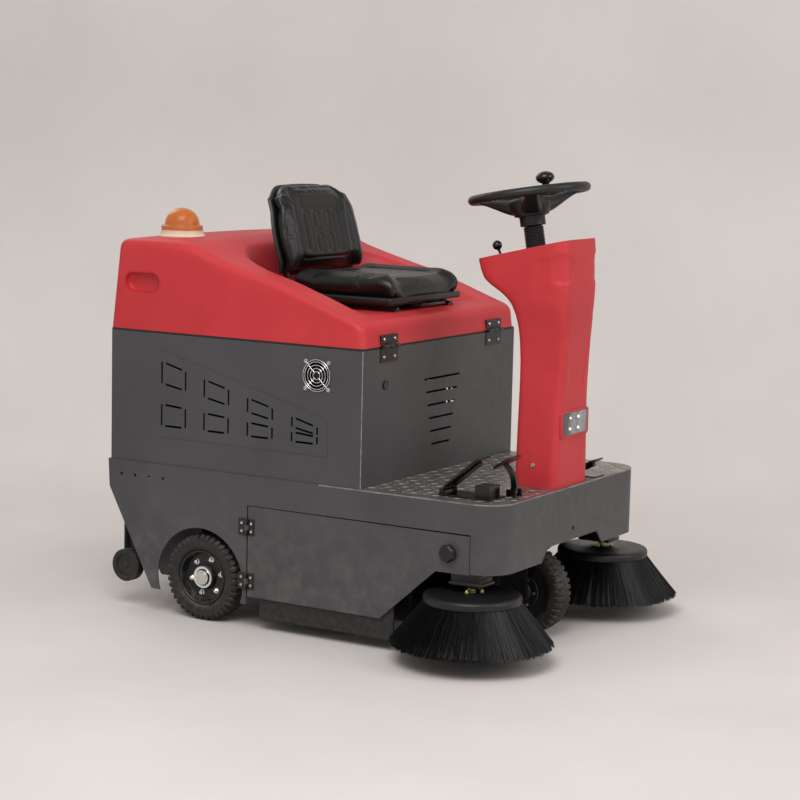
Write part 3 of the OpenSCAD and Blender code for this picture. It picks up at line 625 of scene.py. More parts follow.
def make_console():
    around, high = 220, 150
    a = round_angles(around)
    # even spacing along the outline instead of along the angle
    fx, fy = console_section(600.0, np.linspace(0, 2 * math.pi, 4001))
    run = np.concatenate([[0], np.cumsum(np.hypot(np.diff(fx), np.diff(fy)))])
    a = np.interp(np.linspace(0, run[-1], around, endpoint=False), run,
                  np.linspace(0, 2 * math.pi, 4001))
    t, a = np.meshgrid(np.linspace(0, 1, high), a, indexing="ij")
    z = DECK + t * 650
    for _ in range(4):
        x, y = console_section(z, a)
        z = DECK + t * (dash_height(x) - DECK)
    push = console_relief(x, y, z)
    cx = 525.0
    length = np.hypot(x - cx, y)
    x, y = x - (x - cx) / length * push, y - y / length * push
    grid = [np.stack([x[i], y[i], z[i]], -1) for i in range(high)]
    top = grid[-1]
    for inward, drop in ((0.6, 1.2), (2.0, 2.0), (3.4, 1.2), (4.2, -1.0), (4.8, -8), (5.0, -15)):
        ring = top.copy()
        away = top[:, :2] - (DASH_MIDDLE, 0)
        away /= np.linalg.norm(away, axis=1)[:, None]
        ring[:, :2] -= away * inward
        ring[:, 2] += drop - 2 - 0.2 * inward
        grid.append(ring)
    shape = Shape().add(np.concatenate(grid), quads(len(grid), around, True))
    shape.piece("console_moulding", "chassis", RED, "red_plastic", ["console_cover"], 55)
    rib = Shape()
    rib.revolve([(20, DECK), (23, DECK), (23, DECK + 456), (20, DECK + 460), (20, DECK)],
                place_at((STEER_X, 0, 0)), 64)
    rib.piece("console_shaft_rib", "chassis", RED, angle=55)


def make_dash():
    """The black panel sunk into the console's top, with a raised lip round the shaft."""
    a = round_angles(200)
    z = np.full(200, 1090.0)
    for _ in range(4):
        x, y = console_section(z, a)
        z = dash_height(x) - DASH_SINK
    rings = []
    for scale, drop in ((1.0, -3), (1.0, 0), (0.985, 1.2), (0.9, 1.2), (0.88, 0.2), (0.5, 0.2),
                        (0.3, 0.2)):
        px = DASH_MIDDLE + (x - DASH_MIDDLE) * (scale - 0.055)
        py = y * (scale - 0.055)
        rings.append(np.stack([px, py, dash_height(px) - DASH_SINK + drop], -1))
    grid = Shape().add(np.concatenate(rings), quads(len(rings), 200, True))
    middle = [(DASH_MIDDLE + 44 * math.cos(t), 33 * math.sin(t)) for t in a]
    grid.add([(px, py, dash_height(px) - DASH_SINK + 0.4) for px, py in middle],
             [tuple(range(200))])
    collar = place_at((457.0, 0, dash_height(457.0) - DASH_SINK), (-DASH_RISE, 0, 1))
    grid.revolve([(30, -1), (44, -1), (44, 3), (41, 6), (37, 6.6), (35, 4), (30, 3)], collar, 60)
    grid.piece("dash_top", "chassis", PLASTIC, "black_plastic", ["dash_panel"], 40)


make_console()
make_dash()


def console_front(z):
    return float(np.interp(z, CONSOLE_LEVELS[:, 0], CONSOLE_LEVELS[:, 2]))


def make_headlight():
    """Raised red bezel, silver tray with four lamps, and a clear lens over them."""
    lo, hi = box("headlight_lens")
    low, high = lo[2] - 6, hi[2] + 6
    half = hi[1] + 7
    face = console_front(620)

    def frame_ring(grow, x):
        w, h, r = half + grow, (high - low) / 2 + grow, 12 + grow
        corners = []
        for cx, cz, start in ((w - r, h - r, 0), (r - w, h - r, 90), (r - w, r - h, 180),
                              (w - r, r - h, 270)):
            corners += arc(cx, cz, r, start, start + 90, 7)
        return [(x, p[0], (low + high) / 2 + p[1]) for p in corners]

    rings = [frame_ring(0, face - 3), frame_ring(0, face + 2.5), frame_ring(-1.5, face + 4.5),
             frame_ring(-4, face + 5), frame_ring(-6.5, face + 4.2), frame_ring(-7.5, face + 1),
             frame_ring(-7.5, face - 3)]
    bezel = Shape().add(np.concatenate(rings), quads(len(rings), 28, True))
    bezel.piece("headlight_bezel", "chassis", RED, "red_plastic")
    tray = Shape()
    tray.rounded((face - 2, -half + 8, low + 8), (face + 0.6, half - 8, high - 8), 1)
    spots = [(y, (low + high) / 2 + z) for y in (-24, 24) for z in (-15, 15)]
    for y, z in spots:
        cup = place_at((face + 0.4, y, z), (1, 0, 0), (0, 1, 0))
        tray.revolve([(3.5, -0.4), (7, 0.6), (11, 2.2), (12.5, 3.0), (13.2, 3.0), (13.2, -0.4)],
                     cup, 28)
    tray.piece("headlight_reflector", "chassis", SILVER)
    bulbs = Shape()
    for y, z in spots:
        bulb = place_at((face + 0.6, y, z), (1, 0, 0), (0, 1, 0))
        bulbs.revolve([(0, 2.6), (1.8, 2.3), (3.2, 1.2), (3.6, 0), (0, 0)], bulb, 16)
    bulbs.piece("headlight_leds", "chassis", LED)
    glass = Shape()
    glass.rounded((face + 3.2, -half + 7.6, low + 7.6), (face + 4.4, half - 7.6, high - 7.6), 0.5)
    glass.piece("headlight_glass", "chassis", LENS, "lens", ["headlight_lens"])


make_headlight()


# ------------------------------------------------------------------ seat

def squircle(u, v, k):
    """Maps a square to a square with round corners; k is 0 for square, 1 for a circle."""
    return u * np.sqrt(1 - k * v * v / 2), v * np.sqrt(1 - k * u * u / 2)


def groove(distance, width):
    return np.exp(-(distance / width) ** 2)


def bar_distance(u, v, u0, v0, u1, v1):
    """Distance from points u, v to the line from u0, v0 to u1, v1."""
    du, dv = u1 - u0, v1 - v0
    t = np.clip(((u - u0) * du + (v - v0) * dv) / (du * du + dv * dv), 0, 1)
    return np.hypot(u - u0 - t * du, v - v0 - t * dv)


def frame_distance(u, v, half_u, half_v, r):
    """Distance to the outline of a rectangle with round corners."""
    qu, qv = np.abs(u) - half_u + r, np.abs(v) - half_v + r
    outside = np.hypot(np.maximum(qu, 0), np.maximum(qv, 0))
    return np.abs(outside + np.minimum(np.maximum(qu, qv), 0) - r)


def pad(half_x, half_y, front, rear, k, edge, bow, count=90):
    """A closed plain pad. x and y lie across it and z is its front; front and rear are the
    heights of its two faces, k rounds its outline and bow(x, y) bends it."""
    s = np.linspace(-1, 1, count)
    s = np.sign(s) * (1 - (1 - np.abs(s)) ** 1.35)
    u, v = np.meshgrid(s, s, indexing="ij")
    x, y = squircle(u, v, k)
    x, y = x * half_x, y * half_y
    inner = np.clip((1 - np.maximum(np.abs(u), np.abs(v))) * min(half_x, half_y) / edge, 0, 1)
    swell = np.sqrt(np.clip(1 - (1 - inner) ** 2, 0, 1))
    middle = (front + rear) / 2
    top = middle + (front - middle) * swell + bow(x, y)
    bottom = middle + (rear - middle) * swell + bow(x, y)
    points = np.concatenate([np.stack([x, y, top], -1).reshape(-1, 3),
                             np.stack([x, y, bottom], -1).reshape(-1, 3)])
    faces = quads(count, count)
    under = [tuple(count * count + i for i in f[::-1]) for f in faces]
    return points, faces + under


def vertex_array(mesh):
    flat = np.empty(len(mesh.vertices) * 3)
    mesh.vertices.foreach_get("co", flat)
    return flat.reshape(-1, 3)


CUSHION_VOXEL = 0.0045
CLOTH_PRESSURE = 4.0
CLOTH_FRAMES = 20
SWELL_CAP = 9.0                # millimetres the cloth may move out


def upholster(name, points, faces, place, pattern, node):
    """Blows the pad up as cloth, caps the swelling, sinks the moulded lines and places it."""
    shape = Shape().add(points, faces)
    obj = shape.piece(name, "seat", VINYL, "vinyl", [node], 70)
    remesh = obj.modifiers.new("remesh", "REMESH")
    remesh.mode = "VOXEL"
    remesh.voxel_size = CUSHION_VOXEL
    bake(obj)
    before = vertex_array(obj.data)
    cloth = obj.modifiers.new("cloth", "CLOTH")
    cloth.settings.use_pressure = True
    cloth.settings.uniform_pressure_force = CLOTH_PRESSURE
    cloth.settings.effector_weights.gravity = 0
    cloth.settings.quality = 4
    cloth.settings.tension_stiffness = 20
    cloth.settings.compression_stiffness = 20
    cloth.settings.bending_stiffness = 4
    cloth.point_cache.frame_end = CLOTH_FRAMES
    for step in range(1, CLOTH_FRAMES + 1):
        bpy.context.scene.frame_set(step)
    bake(obj)
    bpy.context.scene.frame_set(1)
    after = vertex_array(obj.data)
    moved = after - before
    size = np.linalg.norm(moved, axis=1)[:, None] + 1e-9
    after = before + moved * np.minimum(1, SWELL_CAP * MM / size)
    mm = after / MM
    front = smooth(mm[:, 2], -2, 10)
    after[:, 2] -= pattern(mm[:, 0], mm[:, 1]) * front * MM
    turn = np.array(place.to_3x3())
    after = after @ turn.T + np.array(place.translation) * MM
    obj.data.vertices.foreach_set("co", after.reshape(-1))
    obj.data.update()
    obj.data.shade_smooth()
    smoother = obj.modifiers.new("subdivision", "SUBSURF")
    smoother.levels = smoother.render_levels = 1
    obj.data.materials.clear()
    obj.data.materials.append(VINYL)


def back_pattern(x, y):
    """Sunk lines of the backrest: x is across and y is up."""
    lines = 4.0 * groove(frame_distance(x, y - 8, 128, 104, 26), 3.6)
    lines += 3.2 * groove(frame_distance(x, y - 72, 96, 24, 12), 3.2)
    for px in (-76, 76):
        lines += 3.4 * groove(frame_distance(x - px, y + 18, 15, 58, 12), 3.0)
    for px in (-26, 26):
        for py in (14, -54):
            lines += 3.4 * groove(frame_distance(x - px, y - py, 15, 25, 11), 3.0)
    return lines


def pan_pattern(x, y):
    """Sunk lines of the seat pan: x is across and y is towards the front."""
    lines = 3.5 * groove(frame_distance(x, y + 6, 132, 118, 30), 4.0)
    for py in (-78, -44, -10, 24, 58):
        lines += 3.0 * groove(bar_distance(x, y, -92, py, 92, py), 5.0)
    return lines


def back_outline(points, half_high):
    """The backrest narrows a little towards its top and has well rounded shoulders."""
    x, y = points[:, 0].copy(), points[:, 1].copy()
    drop = 38 * smooth(np.abs(x), 90, 206) ** 2 * smooth(y, 0, half_high)
    points[:, 1] = y - drop
    points[:, 0] = x * (1 - 0.07 * smooth(y, -60, half_high))
    return points


BACK_LEAN = 15.0               # degrees the backrest leans back
BACK_PIVOT = (-214, 0, 974)


def make_seat():
    lo, hi = box("seat_pan_cushion")
    cx, cy = (lo[0] + hi[0]) / 2, (lo[1] + hi[1]) / 2
    half_x, half_y = (hi[1] - lo[1]) / 2, (hi[0] - lo[0]) / 2

    def pan_bow(x, y):
        bolster = 14 * smooth(np.abs(x), 118, 172) - 4
        nose = -7 * smooth(y, 120, half_y + 10) ** 1.5
        return bolster * (1 - smooth(y, 120, 175) * 0.4) + nose + 4 * smooth(-y, 90, 170)

    thick = (hi[2] - lo[2]) / 2
    points, faces = pad(half_x - 1, half_y + 1, thick - 5, 5 - thick, 0.2, 24, pan_bow)
    turn = Matrix(((0, 1, 0, 0), (-1, 0, 0, 0), (0, 0, 1, 0), (0, 0, 0, 1)))
    place = Matrix.Translation((cx, cy, lo[2] + thick)) @ turn
    upholster("seat_pan", points, faces, place, pan_pattern, "seat_pan_cushion")

    lean = math.radians(BACK_LEAN)
    half_high = 133.0
    up = Vector((-math.sin(lean), 0, math.cos(lean)))
    ahead = Vector((math.cos(lean), 0, math.sin(lean)))
    place = place_at(Vector(BACK_PIVOT) - ahead * 30 + up * (30 + half_high), ahead, (0, 1, 0))

    def back_bow(x, y):
        wrap = 20 * smooth(np.abs(x), 120, 200) - 4
        return wrap * (1 - 0.5 * smooth(y, 60, 140)) - 14 * smooth(-y, 90, 150) + 0 * x

    points, faces = pad(205, half_high, 24, -22, 0.16, 28, back_bow)
    points = back_outline(points, half_high)
    upholster("seat_backrest", points, faces, place, back_pattern, "seat_back_cushion")

    points, faces = pad(207, half_high + 2, -20, -36, 0.2, 12, back_bow, 60)
    points = back_outline(points, half_high)
    shell = Shape().add(points, faces, place)
    pan_lo, pan_hi = box("seat_pan_cushion")
    shell.rounded((pan_lo[0] - 4, -200, pan_lo[2] - 9), (pan_hi[0] - 6, 200, pan_lo[2] + 11), 6)
    shell.rounded((pan_lo[0] + 24, -172, 915), (pan_hi[0] - 34, 172, pan_lo[2] - 4), 6)
    for side in (-1, 1):
        runner = sorted((side * 136, side * 164))
        shell.rounded((-225, runner[0], 917.6), (80, runner[1], 928), 2)
        path = [(-230, side * 135, 930), (-262, side * 135, 934), (-283, side * 135, 955),
                (-292, side * 135, 990), (-300, side * 135, 1030)]
        shell.tube(path, 9, 10)
    shell.piece("seat_back_shell", "seat", PLASTIC, "black_plastic", ["seat_shell"], 50)


make_seat()


# ------------------------------------------------------------------ wheels

def tyre_profile(tyre_r, half, bead, steps=6):
    shoulder = 13.0
    right = [(bead, half - 7), (bead + 3, half - 2), (bead + 9, half)]
    right += [(tyre_r - 30, half + 0.2), (tyre_r - 22, half - 0.3)]
    right += [(tyre_r - shoulder + shoulder * math.sin(t), half - shoulder
               + shoulder * math.cos(t)) for t in np.linspace(0.15, math.pi / 2, steps)]
    right += [(tyre_r, z) for z in np.linspace(half - shoulder - 3, 0, 5)[:-1]]
    left = [(r, -h) for r, h in right[::-1]]
    return right + [(tyre_r, 0)] + left


def tread(tyre_r, half, lugs=40, depth=5.0):
    """Cuts notches round both shoulders, staggered, and a shallow centre groove."""
    def shape(r, h, a):
        side = np.sign(h)
        phase = (a * lugs / (2 * math.pi) + np.where(side > 0, 0.0, 0.5)) % 1.0
        notch = smooth(np.abs(phase - 0.5), 0.16, 0.24)
        zone = smooth(np.abs(h), half * 0.42, half * 0.50) * smooth(r, tyre_r - 16, tyre_r - 10)
        cut = (1 - notch) * zone * depth
        ring = 2.4 * (1 - smooth(np.abs(np.abs(h) - half * 0.26), 0.8, 2.6))
        return r - cut - ring * (r > tyre_r - 2), h - side * cut * 0.35
    return shape


def make_tyre(name, body, node, axis_y):
    lo, hi = box(node)
    centre = (lo + hi) / 2
    tyre_r, half = (hi[0] - lo[0]) / 2, (hi[1] - lo[1]) / 2
    bead = 80 if node != "front_tyre" else 85
    profile = tyre_profile(tyre_r, half, bead)
    fine = []
    for a, b in zip(profile[:-1], profile[1:]):
        fine += [a, ((a[0] + b[0]) / 2, (a[1] + b[1]) / 2)]
    fine.append(profile[-1])
    shape = Shape().revolve(fine + [fine[0]], place_at(centre, (0, axis_y, 0)), 320,
                            tread(tyre_r, half))
    shape.piece(name, body, TYRE, "tyre", [node], 32)
    return centre


def hex_bolt(shape, place, r=8.0, h=7.0):
    """A hexagon nut on a washer, with the stud's end."""
    shape.revolve([(0, 0), (r * 1.3, 0), (r * 1.3, 1.2), (r * 1.2, 1.6), (0, 1.6)], place, 20)
    hexagon = place @ Matrix.Rotation(0.3, 4, "Z")
    shape.revolve([(0, 1.5), (r, 1.5), (r, h - 1), (r * 0.86, h), (0, h)], hexagon, 6)
    shape.revolve([(0, h - 1), (r * 0.5, h - 1), (r * 0.5, h + 3), (r * 0.4, h + 3.8),
                   (0, h + 3.8)], place, 14)


def make_rear_wheel(side):
    word = word_of(side)
    body = "rear_wheel_" + word
    centre = make_tyre("tyre_rear_" + word, body, "rear_tyre_" + word, side)
    place = place_at(centre, (0, side, 0))
    dish = [(15.1, -28), (34, -28), (36, -8), (58, -4), (66, -20), (72, -31), (80, -31.5),
            (80, 31.5), (78, 34), (74.5, 34.2), (72.5, 32.5), (71.5, 26), (70, 14), (66.5, 9.5),
            (61, 8.4), (42, 8), (37, 9.5), (35, 14), (34, 24), (32, 26), (29, 26.4), (15.1, 26.4)]
    rim = Shape().revolve(dish + [dish[0]], place, 96)
    rim.piece("rim_rear_" + word, body, BLACK, "black_paint", ["rear_rim_" + word], 40)
    metal = Shape()
    for i in range(6):
        a = math.radians(60 * i + 12)
        spot = place @ Matrix.Translation((52 * math.cos(a), 52 * math.sin(a), 8.2))
        hex_bolt(metal, spot, 6.6, 7)
    metal.revolve([(24, 26), (31, 26), (32, 28), (31.5, 29.4), (25, 29.6), (24, 29)], place, 48)
    metal.piece("wheel_nuts_" + word, body, CHROME)


for wheel_side in (-1, 1):
    make_rear_wheel(wheel_side)
make_tyre("tyre_front", "front_wheel", "front_tyre", 1)


def make_front_hub():
    lo, hi = box("front_hub_motor")
    place = place_at((lo + hi) / 2, (0, 1, 0))
    rings = [(10.1, -41), (26, -41), (29, -39), (31, -34), (50, -33), (52, -31), (76, -31),
             (79, -34), (85, -34)]
    profile = rings + [(r, -h) for r, h in rings[::-1]]
    hub = Shape().revolve(profile + [profile[0]], place, 80)
    hub.piece("hub_motor", "front_wheel", BLACK, "grey_metal", ["front_hub_motor"], 35)
    bolts = Shape()
    for side in (-1, 1):
        for i in range(6):
            a = math.radians(60 * i)
            spot = place_at((lo + hi) / 2 + np.array([40 * math.cos(a), side * 33,
                                                      40 * math.sin(a)]), (0, side, 0))
            screw_head(bolts, spot, 5, 4)
    bolts.piece("hub_motor_bolts", "front_wheel", ZINC, "zinc")


make_front_hub()


# ------------------------------------------------------------------ brushes

def strands(shape, start, end, thick, rings=5, bend=0.0, sides=3):
    """Many filaments from start points to end points, each a thin tapering prism."""
    count = len(start)
    t = np.linspace(0, 1, rings)
    span = end - start
    side = np.cross(span, [0, 0, 1.0])
    side /= np.linalg.norm(side, axis=1)[:, None] + 1e-9
    across = np.cross(side, span)
    across /= np.linalg.norm(across, axis=1)[:, None] + 1e-9
    curl = rng.normal(0, 1, (count, 2))
    line = start[:, None] + span[:, None] * t[None, :, None]
    wave = (t * t)[None, :, None] * bend
    line = line + wave * (side * curl[:, :1] + across * curl[:, 1:])[:, None]
    a = round_angles(sides)
    ring = side[:, None] * np.cos(a)[None, :, None] + across[:, None] * np.sin(a)[None, :, None]
    width = thick * (1 - 0.35 * t)
    grid = line[:, :, None] + ring[:, None] * width[None, :, None, None]
    points = grid.reshape(-1, 3)
    unit = quads(rings, sides, True) + [cap[::-1] for cap in end_caps(rings, sides)]
    faces = [tuple(i * rings * sides + k for k in f) for i in range(count) for f in unit]
    return shape.add(points, faces)


def make_side_brush(side):
    word = word_of(side)
    body = "brush_" + word[0]
    lo, hi = box("side_bristles_" + word)
    x, y = (lo[0] + hi[0]) / 2, (lo[1] + hi[1]) / 2
    top, low, reach = hi[2], lo[2], (hi[0] - lo[0]) / 2
    place = place_at((x, y, 0))
    disc_top = top + 22
    plate = [(0, top - 2), (132, top - 2), (134, top + 1), (134, top + 13), (132.5, top + 17),
             (129, top + 20), (122, top + 21.6), (112, disc_top), (40, disc_top + 0.4),
             (36, disc_top + 3), (0, disc_top + 3)]
    Shape().revolve(plate, place, 120).piece(
        "brush_plate_" + word, body, PLASTIC, "black_plastic", ["side_brush_disc_" + word], 35)
    metal = Shape()
    metal.revolve([(0, disc_top + 2), (11, disc_top + 2), (11, disc_top + 6), (8, disc_top + 7),
                   (8, disc_top + 13.4), (0, disc_top + 13.4)], place, 24)
    for i in range(3):
        a = math.radians(120 * i + 20)
        spot = place_at((x + 25 * math.cos(a), y + 25 * math.sin(a), disc_top + 3))
        hex_bolt(metal, spot, 5.5, 5)
    metal.piece("brush_hub_" + word, body, GOLD_ZINC)
    tufts = 3400
    a = rng.uniform(0, 2 * math.pi, tufts)
    row = rng.uniform(0, 1, tufts) ** 0.55
    r0 = 92 + 39 * row
    r1 = reach - 1.5 - 46 * (1 - row) + rng.uniform(-2.5, 0, tufts)
    twist = rng.normal(0, 0.035, tufts)
    start = np.stack([x + r0 * np.cos(a), y + r0 * np.sin(a), np.full(tufts, top)], -1)
    tip = low + 0.6 + rng.uniform(0, 5, tufts) + 3 * (1 - row)
    end = np.stack([x + r1 * np.cos(a + twist), y + r1 * np.sin(a + twist), tip], -1)
    shape = Shape()
    strands(shape, start, end, 1.5, 5, 1.2)
    wall = [(126 + (reach - 12 - 126) * t - 3 * math.sin(math.pi * t), top - (top - low - 9) * t)
            for t in np.linspace(0, 1, 6)]
    inner = [(r - 26, z) for r, z in wall[::-1]]

    def ragged(r, h, angle):
        return r + 1.5 * np.sin(angle * 61) + np.sin(angle * 37 + 1), h
    shape.revolve(wall + inner + [wall[0]], place, 240, ragged)
    shape.piece("brush_bristles_" + word, body, BRISTLE, "bristle",
                ["side_bristles_" + word], 60)


def make_brush_motor(side):
    word = word_of(side)
    body = "lift_" + word[0]
    foot = box("side_brush_motor_" + word)[0][2]
    y0, y1 = sorted((side * 355, side * 424))
    x, y = 503.0, side * 398.5
    case = Shape()
    case.rounded((448, y0, foot + 10), (540, y1, 330), 4)
    case.rounded((444, y0 - 3, foot + 7), (544, min(y1 + 3, 431) if side > 0 else y1 + 3,
                                           foot + 17), 2)
    for k in range(7):
        case.rounded((446, y0 + 6, foot + 26 + 13 * k), (542, y1 - 6, foot + 31 + 13 * k), 1.5)
    case.revolve([(0, 328), (12, 328), (12, 424), (11, 425), (0, 425)],
                 place_at((x, side * 370, 0)), 32)
    case.revolve([(0, foot + 11), (24, foot + 11), (24, foot + 6), (17, foot + 4), (16, foot),
                  (0, foot)], place_at((x, y, 0)), 32)
    case.piece("brush_motor_case_" + word, body, BLACK, "black_paint",
               ["side_brush_motor_" + word], 40)
    trim = Shape()
    for px in (454, 534):
        for py in (y0 + 7, y1 - 7):
            screw_head(trim, place_at((px, py, foot + 7), (0, 0, -1)), 4, 3)
    trim.piece("brush_motor_screws_" + word, body, ZINC)


def make_roller():
    lo, hi = box("main_brush_bristles")
    centre = (lo + hi) / 2
    count = 9000
    along = rng.uniform(lo[1] + 3, hi[1] - 3, count)
    row = rng.integers(0, 10, count)
    lean = np.abs(along) / 330 * 0.9
    a = row * (2 * math.pi / 10) + lean + rng.normal(0, 0.05, count)
    reach = (hi[0] - lo[0]) / 2 - rng.uniform(0.5, 5, count)
    start = np.stack([centre[0] + 58 * np.cos(a), along, centre[2] + 58 * np.sin(a)], -1)
    end = np.stack([centre[0] + reach * np.cos(a + 0.04), along + rng.normal(0, 3, count),
                    centre[2] + reach * np.sin(a + 0.04)], -1)
    shape = Shape()
    strands(shape, start, end, 1.4, 3, 1.5)
    shape.revolve([(60.5, -326), (96, -326), (100, -320), (100, 320), (96, 326), (60.5, 326),
                   (60.5, -326)], place_at(centre, (0, 1, 0)), 60,
                  lambda r, h, t: (r - 9 * (r > 90) * (0.5 + 0.5 * np.cos(
                      10 * (t + np.abs(h) / 330 * 0.9))), h))
    shape.piece("roller_bristles", "roller", BRISTLE, "bristle", ["main_brush_bristles"], 60)


for brush_side in (-1, 1):
    make_side_brush(brush_side)
    make_brush_motor(brush_side)
make_roller()


# ------------------------------------------------------------------ steering wheel and dash

WHEEL_TILT = math.radians(10)
WHEEL_AXIS = (-math.sin(WHEEL_TILT), 0, math.cos(WHEEL_TILT))
WHEEL_MIDDLE = (429, 0, 1248)
SPINNER_R, SPINNER_ANGLE = 142.0, 97.0
wheel_place = place_at(WHEEL_MIDDLE, WHEEL_AXIS)
spinner_turn = wheel_place @ Matrix.Rotation(math.radians(SPINNER_ANGLE), 4, "Z")
spinner_place = spinner_turn @ Matrix.Translation((SPINNER_R, 0, 0))


def make_steering_wheel():
    rim_r, thick = 159.0, 13.8
    a = round_angles(240)
    b = round_angles(28)
    aa, bb = np.meshgrid(a, b, indexing="ij")
    under = smooth(-np.sin(bb), 0.2, 0.9)
    grip = 1.6 * under * (0.5 + 0.5 * np.cos(aa * 60))
    r = rim_r + (thick - grip) * np.cos(bb)
    z = (thick * 0.94 - grip) * np.sin(bb)
    grid = np.stack([r * np.cos(aa), r * np.sin(aa), z], -1)
    faces = quads(240, 28, True) + last_to_first(240, 28)
    shape = Shape().add(grid.reshape(-1, 3), faces, wheel_place)
    hub = [(0, -63), (40, -63), (48, -61), (53, -50), (57, -38), (60, -26), (60, -18), (57, -13),
           (50, -10.5), (36, -10), (33, -12), (31, -15), (31, -22), (0, -22)]
    shape.revolve(hub, wheel_place, 72)
    collar = [(14.4, -90), (33, -90), (36, -88), (36, -66), (38, -63), (38, -60), (14.4, -60)]
    shape.revolve(collar + [collar[0]], wheel_place, 60)
    shape.revolve([(0, -188), (9, -186), (13.6, -178), (13.6, -86), (0, -86)], wheel_place, 32)
    for angle in (60, 180, 300):
        spoke_place = wheel_place @ Matrix.Rotation(math.radians(angle), 4, "Z")
        s = np.linspace(0, 1, 14)
        mid = 38 + (rim_r - 8 - 38) * s
        height = -38 + 34 * s ** 1.1
        deep = 21 - 13 * smooth(s, 0.1, 1)
        wide = 30 - 10 * smooth(s, 0, 0.75) + 4 * smooth(s, 0.85, 1)
        t = round_angles(20)
        rings = np.stack([np.repeat(mid[:, None], 20, 1),
                          wide[:, None] * np.sign(np.cos(t)) * np.abs(np.cos(t)) ** 0.6,
                          height[:, None] + deep[:, None] * np.sign(np.sin(t))
                          * np.abs(np.sin(t)) ** 0.7], -1)
        shape.add(rings.reshape(-1, 3), quads(14, 20, True) + end_caps(14, 20), spoke_place)
    shape.rounded((122, -13, -7), (158, 13, 6), 4, spinner_turn)
    shape.revolve([(0, -8), (12, -8), (13, -6), (13, 13), (11, 15.8), (0, 15.8)],
                  spinner_place, 28)
    shape.piece("steering_wheel_rim", "wheel_column", PLASTIC, "black_plastic",
                ["steering_wheel"], 42)


def make_small_controls():
    cap = [(0, -20), (29.8, -20), (29.8, -11.5), (28, -9), (24, -7.4), (15, -6.4), (13.5, -7.2),
           (12, -6.2), (0, -5.6)]
    Shape().revolve(cap, wheel_place, 60).piece(
        "horn_cap", "horn", PLASTIC, "black_plastic", ["horn_button"], 40)
    profile = [(0, 16.4), (10, 16.4), (10.4, 20), (9.6, 24), (10.5, 27)]
    profile += [(27 * math.cos(t), 46 + 18 * math.sin(t))
                for t in np.linspace(-1.15, math.pi / 2, 16)]
    Shape().revolve(profile, spinner_place, 56).piece(
        "spinner_grip", "spinner", GLOSS, "gloss_black", ["spinner_knob"], 45)
    lever = place_at((384, -60, 1062), (-math.sin(math.radians(25)), 0,
                                        math.cos(math.radians(25))))
    ball = [(0, -6), (6, -5), (6.4, 0), (4.8, 3), (3.4, 10), (3.3, 30), (4.6, 32)]
    ball += [(13.5 * math.sin(t), 46 - 13.5 * math.cos(t))
             for t in np.linspace(0.35, math.pi, 22)]
    Shape().revolve(ball, lever, 40).piece(
        "lever_and_ball", "lever", GLOSS, "gloss_black", ["direction_lever"], 40)
    slope = math.atan(DASH_RISE)
    normal = (-math.sin(slope), 0, math.cos(slope))
    stop = place_at((395, 60, dash_height(395) - DASH_SINK), normal)
    head = [(0, -9), (9, -9), (9, 5), (15, 5.2), (15.2, 7), (14.6, 11), (12.5, 13.4), (8, 14),
            (0, 13.4)]
    Shape().revolve(head, stop, 40).piece(
        "stop_mushroom", "stop_button", BUTTON, "red_button", ["emergency_stop"], 40)


def make_boot():
    lo, hi = -165.0, -91.0
    ribs = [(19, lo), (37, lo), (38, lo + 2), (37, lo + 7), (33, lo + 11)]
    count = 10
    for i in range(count):
        base = lo + 13 + i * (hi - lo - 15) / count
        ribs += [(25.6, base), (28.4, base + 1.6), (28.8, base + 2.9), (28.2, base + 4.2)]
    ribs += [(25.5, hi - 1), (24, hi), (19, hi)]
    Shape().revolve(ribs + [ribs[0]], wheel_place, 64).piece(
        "steering_gaiter", "chassis", RUBBER, "rubber", ["steering_boot"], 50)


make_steering_wheel()
make_small_controls()
make_boot()


# ------------------------------------------------------------------ beacon

def make_beacon():
    lo, hi = box("beacon_base")
    centre = (lo + hi) / 2
    place = place_at((centre[0], centre[1], lo[2]))

    def fluted(r, h, a):
        return r + 0.7 * np.sign(np.sin(a * 36)) * (h > 7) * (h < 19) * (r > 58), h
    base = [(0, 0.2), (66, 0.2), (68, 1.5), (68, 5), (66.5, 7), (64.5, 7.6), (63.5, 9), (62.5, 12),
            (61.5, 18), (61.5, 21), (60, 22), (0, 22)]
    Shape().revolve(base, place, 216, fluted).piece(
        "beacon_body", "hood", CREAM, "cream", ["beacon_base"], 30)

    def ribbed(r, h, a):
        return r - 0.5 * (0.5 + 0.5 * np.cos(a * 40)) * (h > 40) * (r > 20), h
    dome = [(61, 22), (61, 33), (59, 35), (52, 36.5)]
    dome += [(51 * math.cos(t), 38 + 48 * math.sin(t)) for t in np.linspace(0.03, math.pi / 2, 16)]
    dome += [(47 * math.cos(t), 36 + 46.5 * math.sin(t))
             for t in np.linspace(math.pi / 2, 0.03, 16)]
    dome += [(56, 34), (56, 22)]
    Shape().revolve(dome + [dome[0]], place, 160, ribbed).piece(
        "beacon_lens", "hood", AMBER, "amber", ["beacon_dome"], 45)
    pad_ring = [(0, -8), (84, -8), (82, -3.4), (77, -0.8), (71, 0.1), (0, 0.1)]
    Shape().revolve(pad_ring, place, 80).piece("beacon_pad", "hood", RED, "red_plastic", angle=50)


make_beacon()


# ------------------------------------------------------------------ deck, cabinet trim, pedals

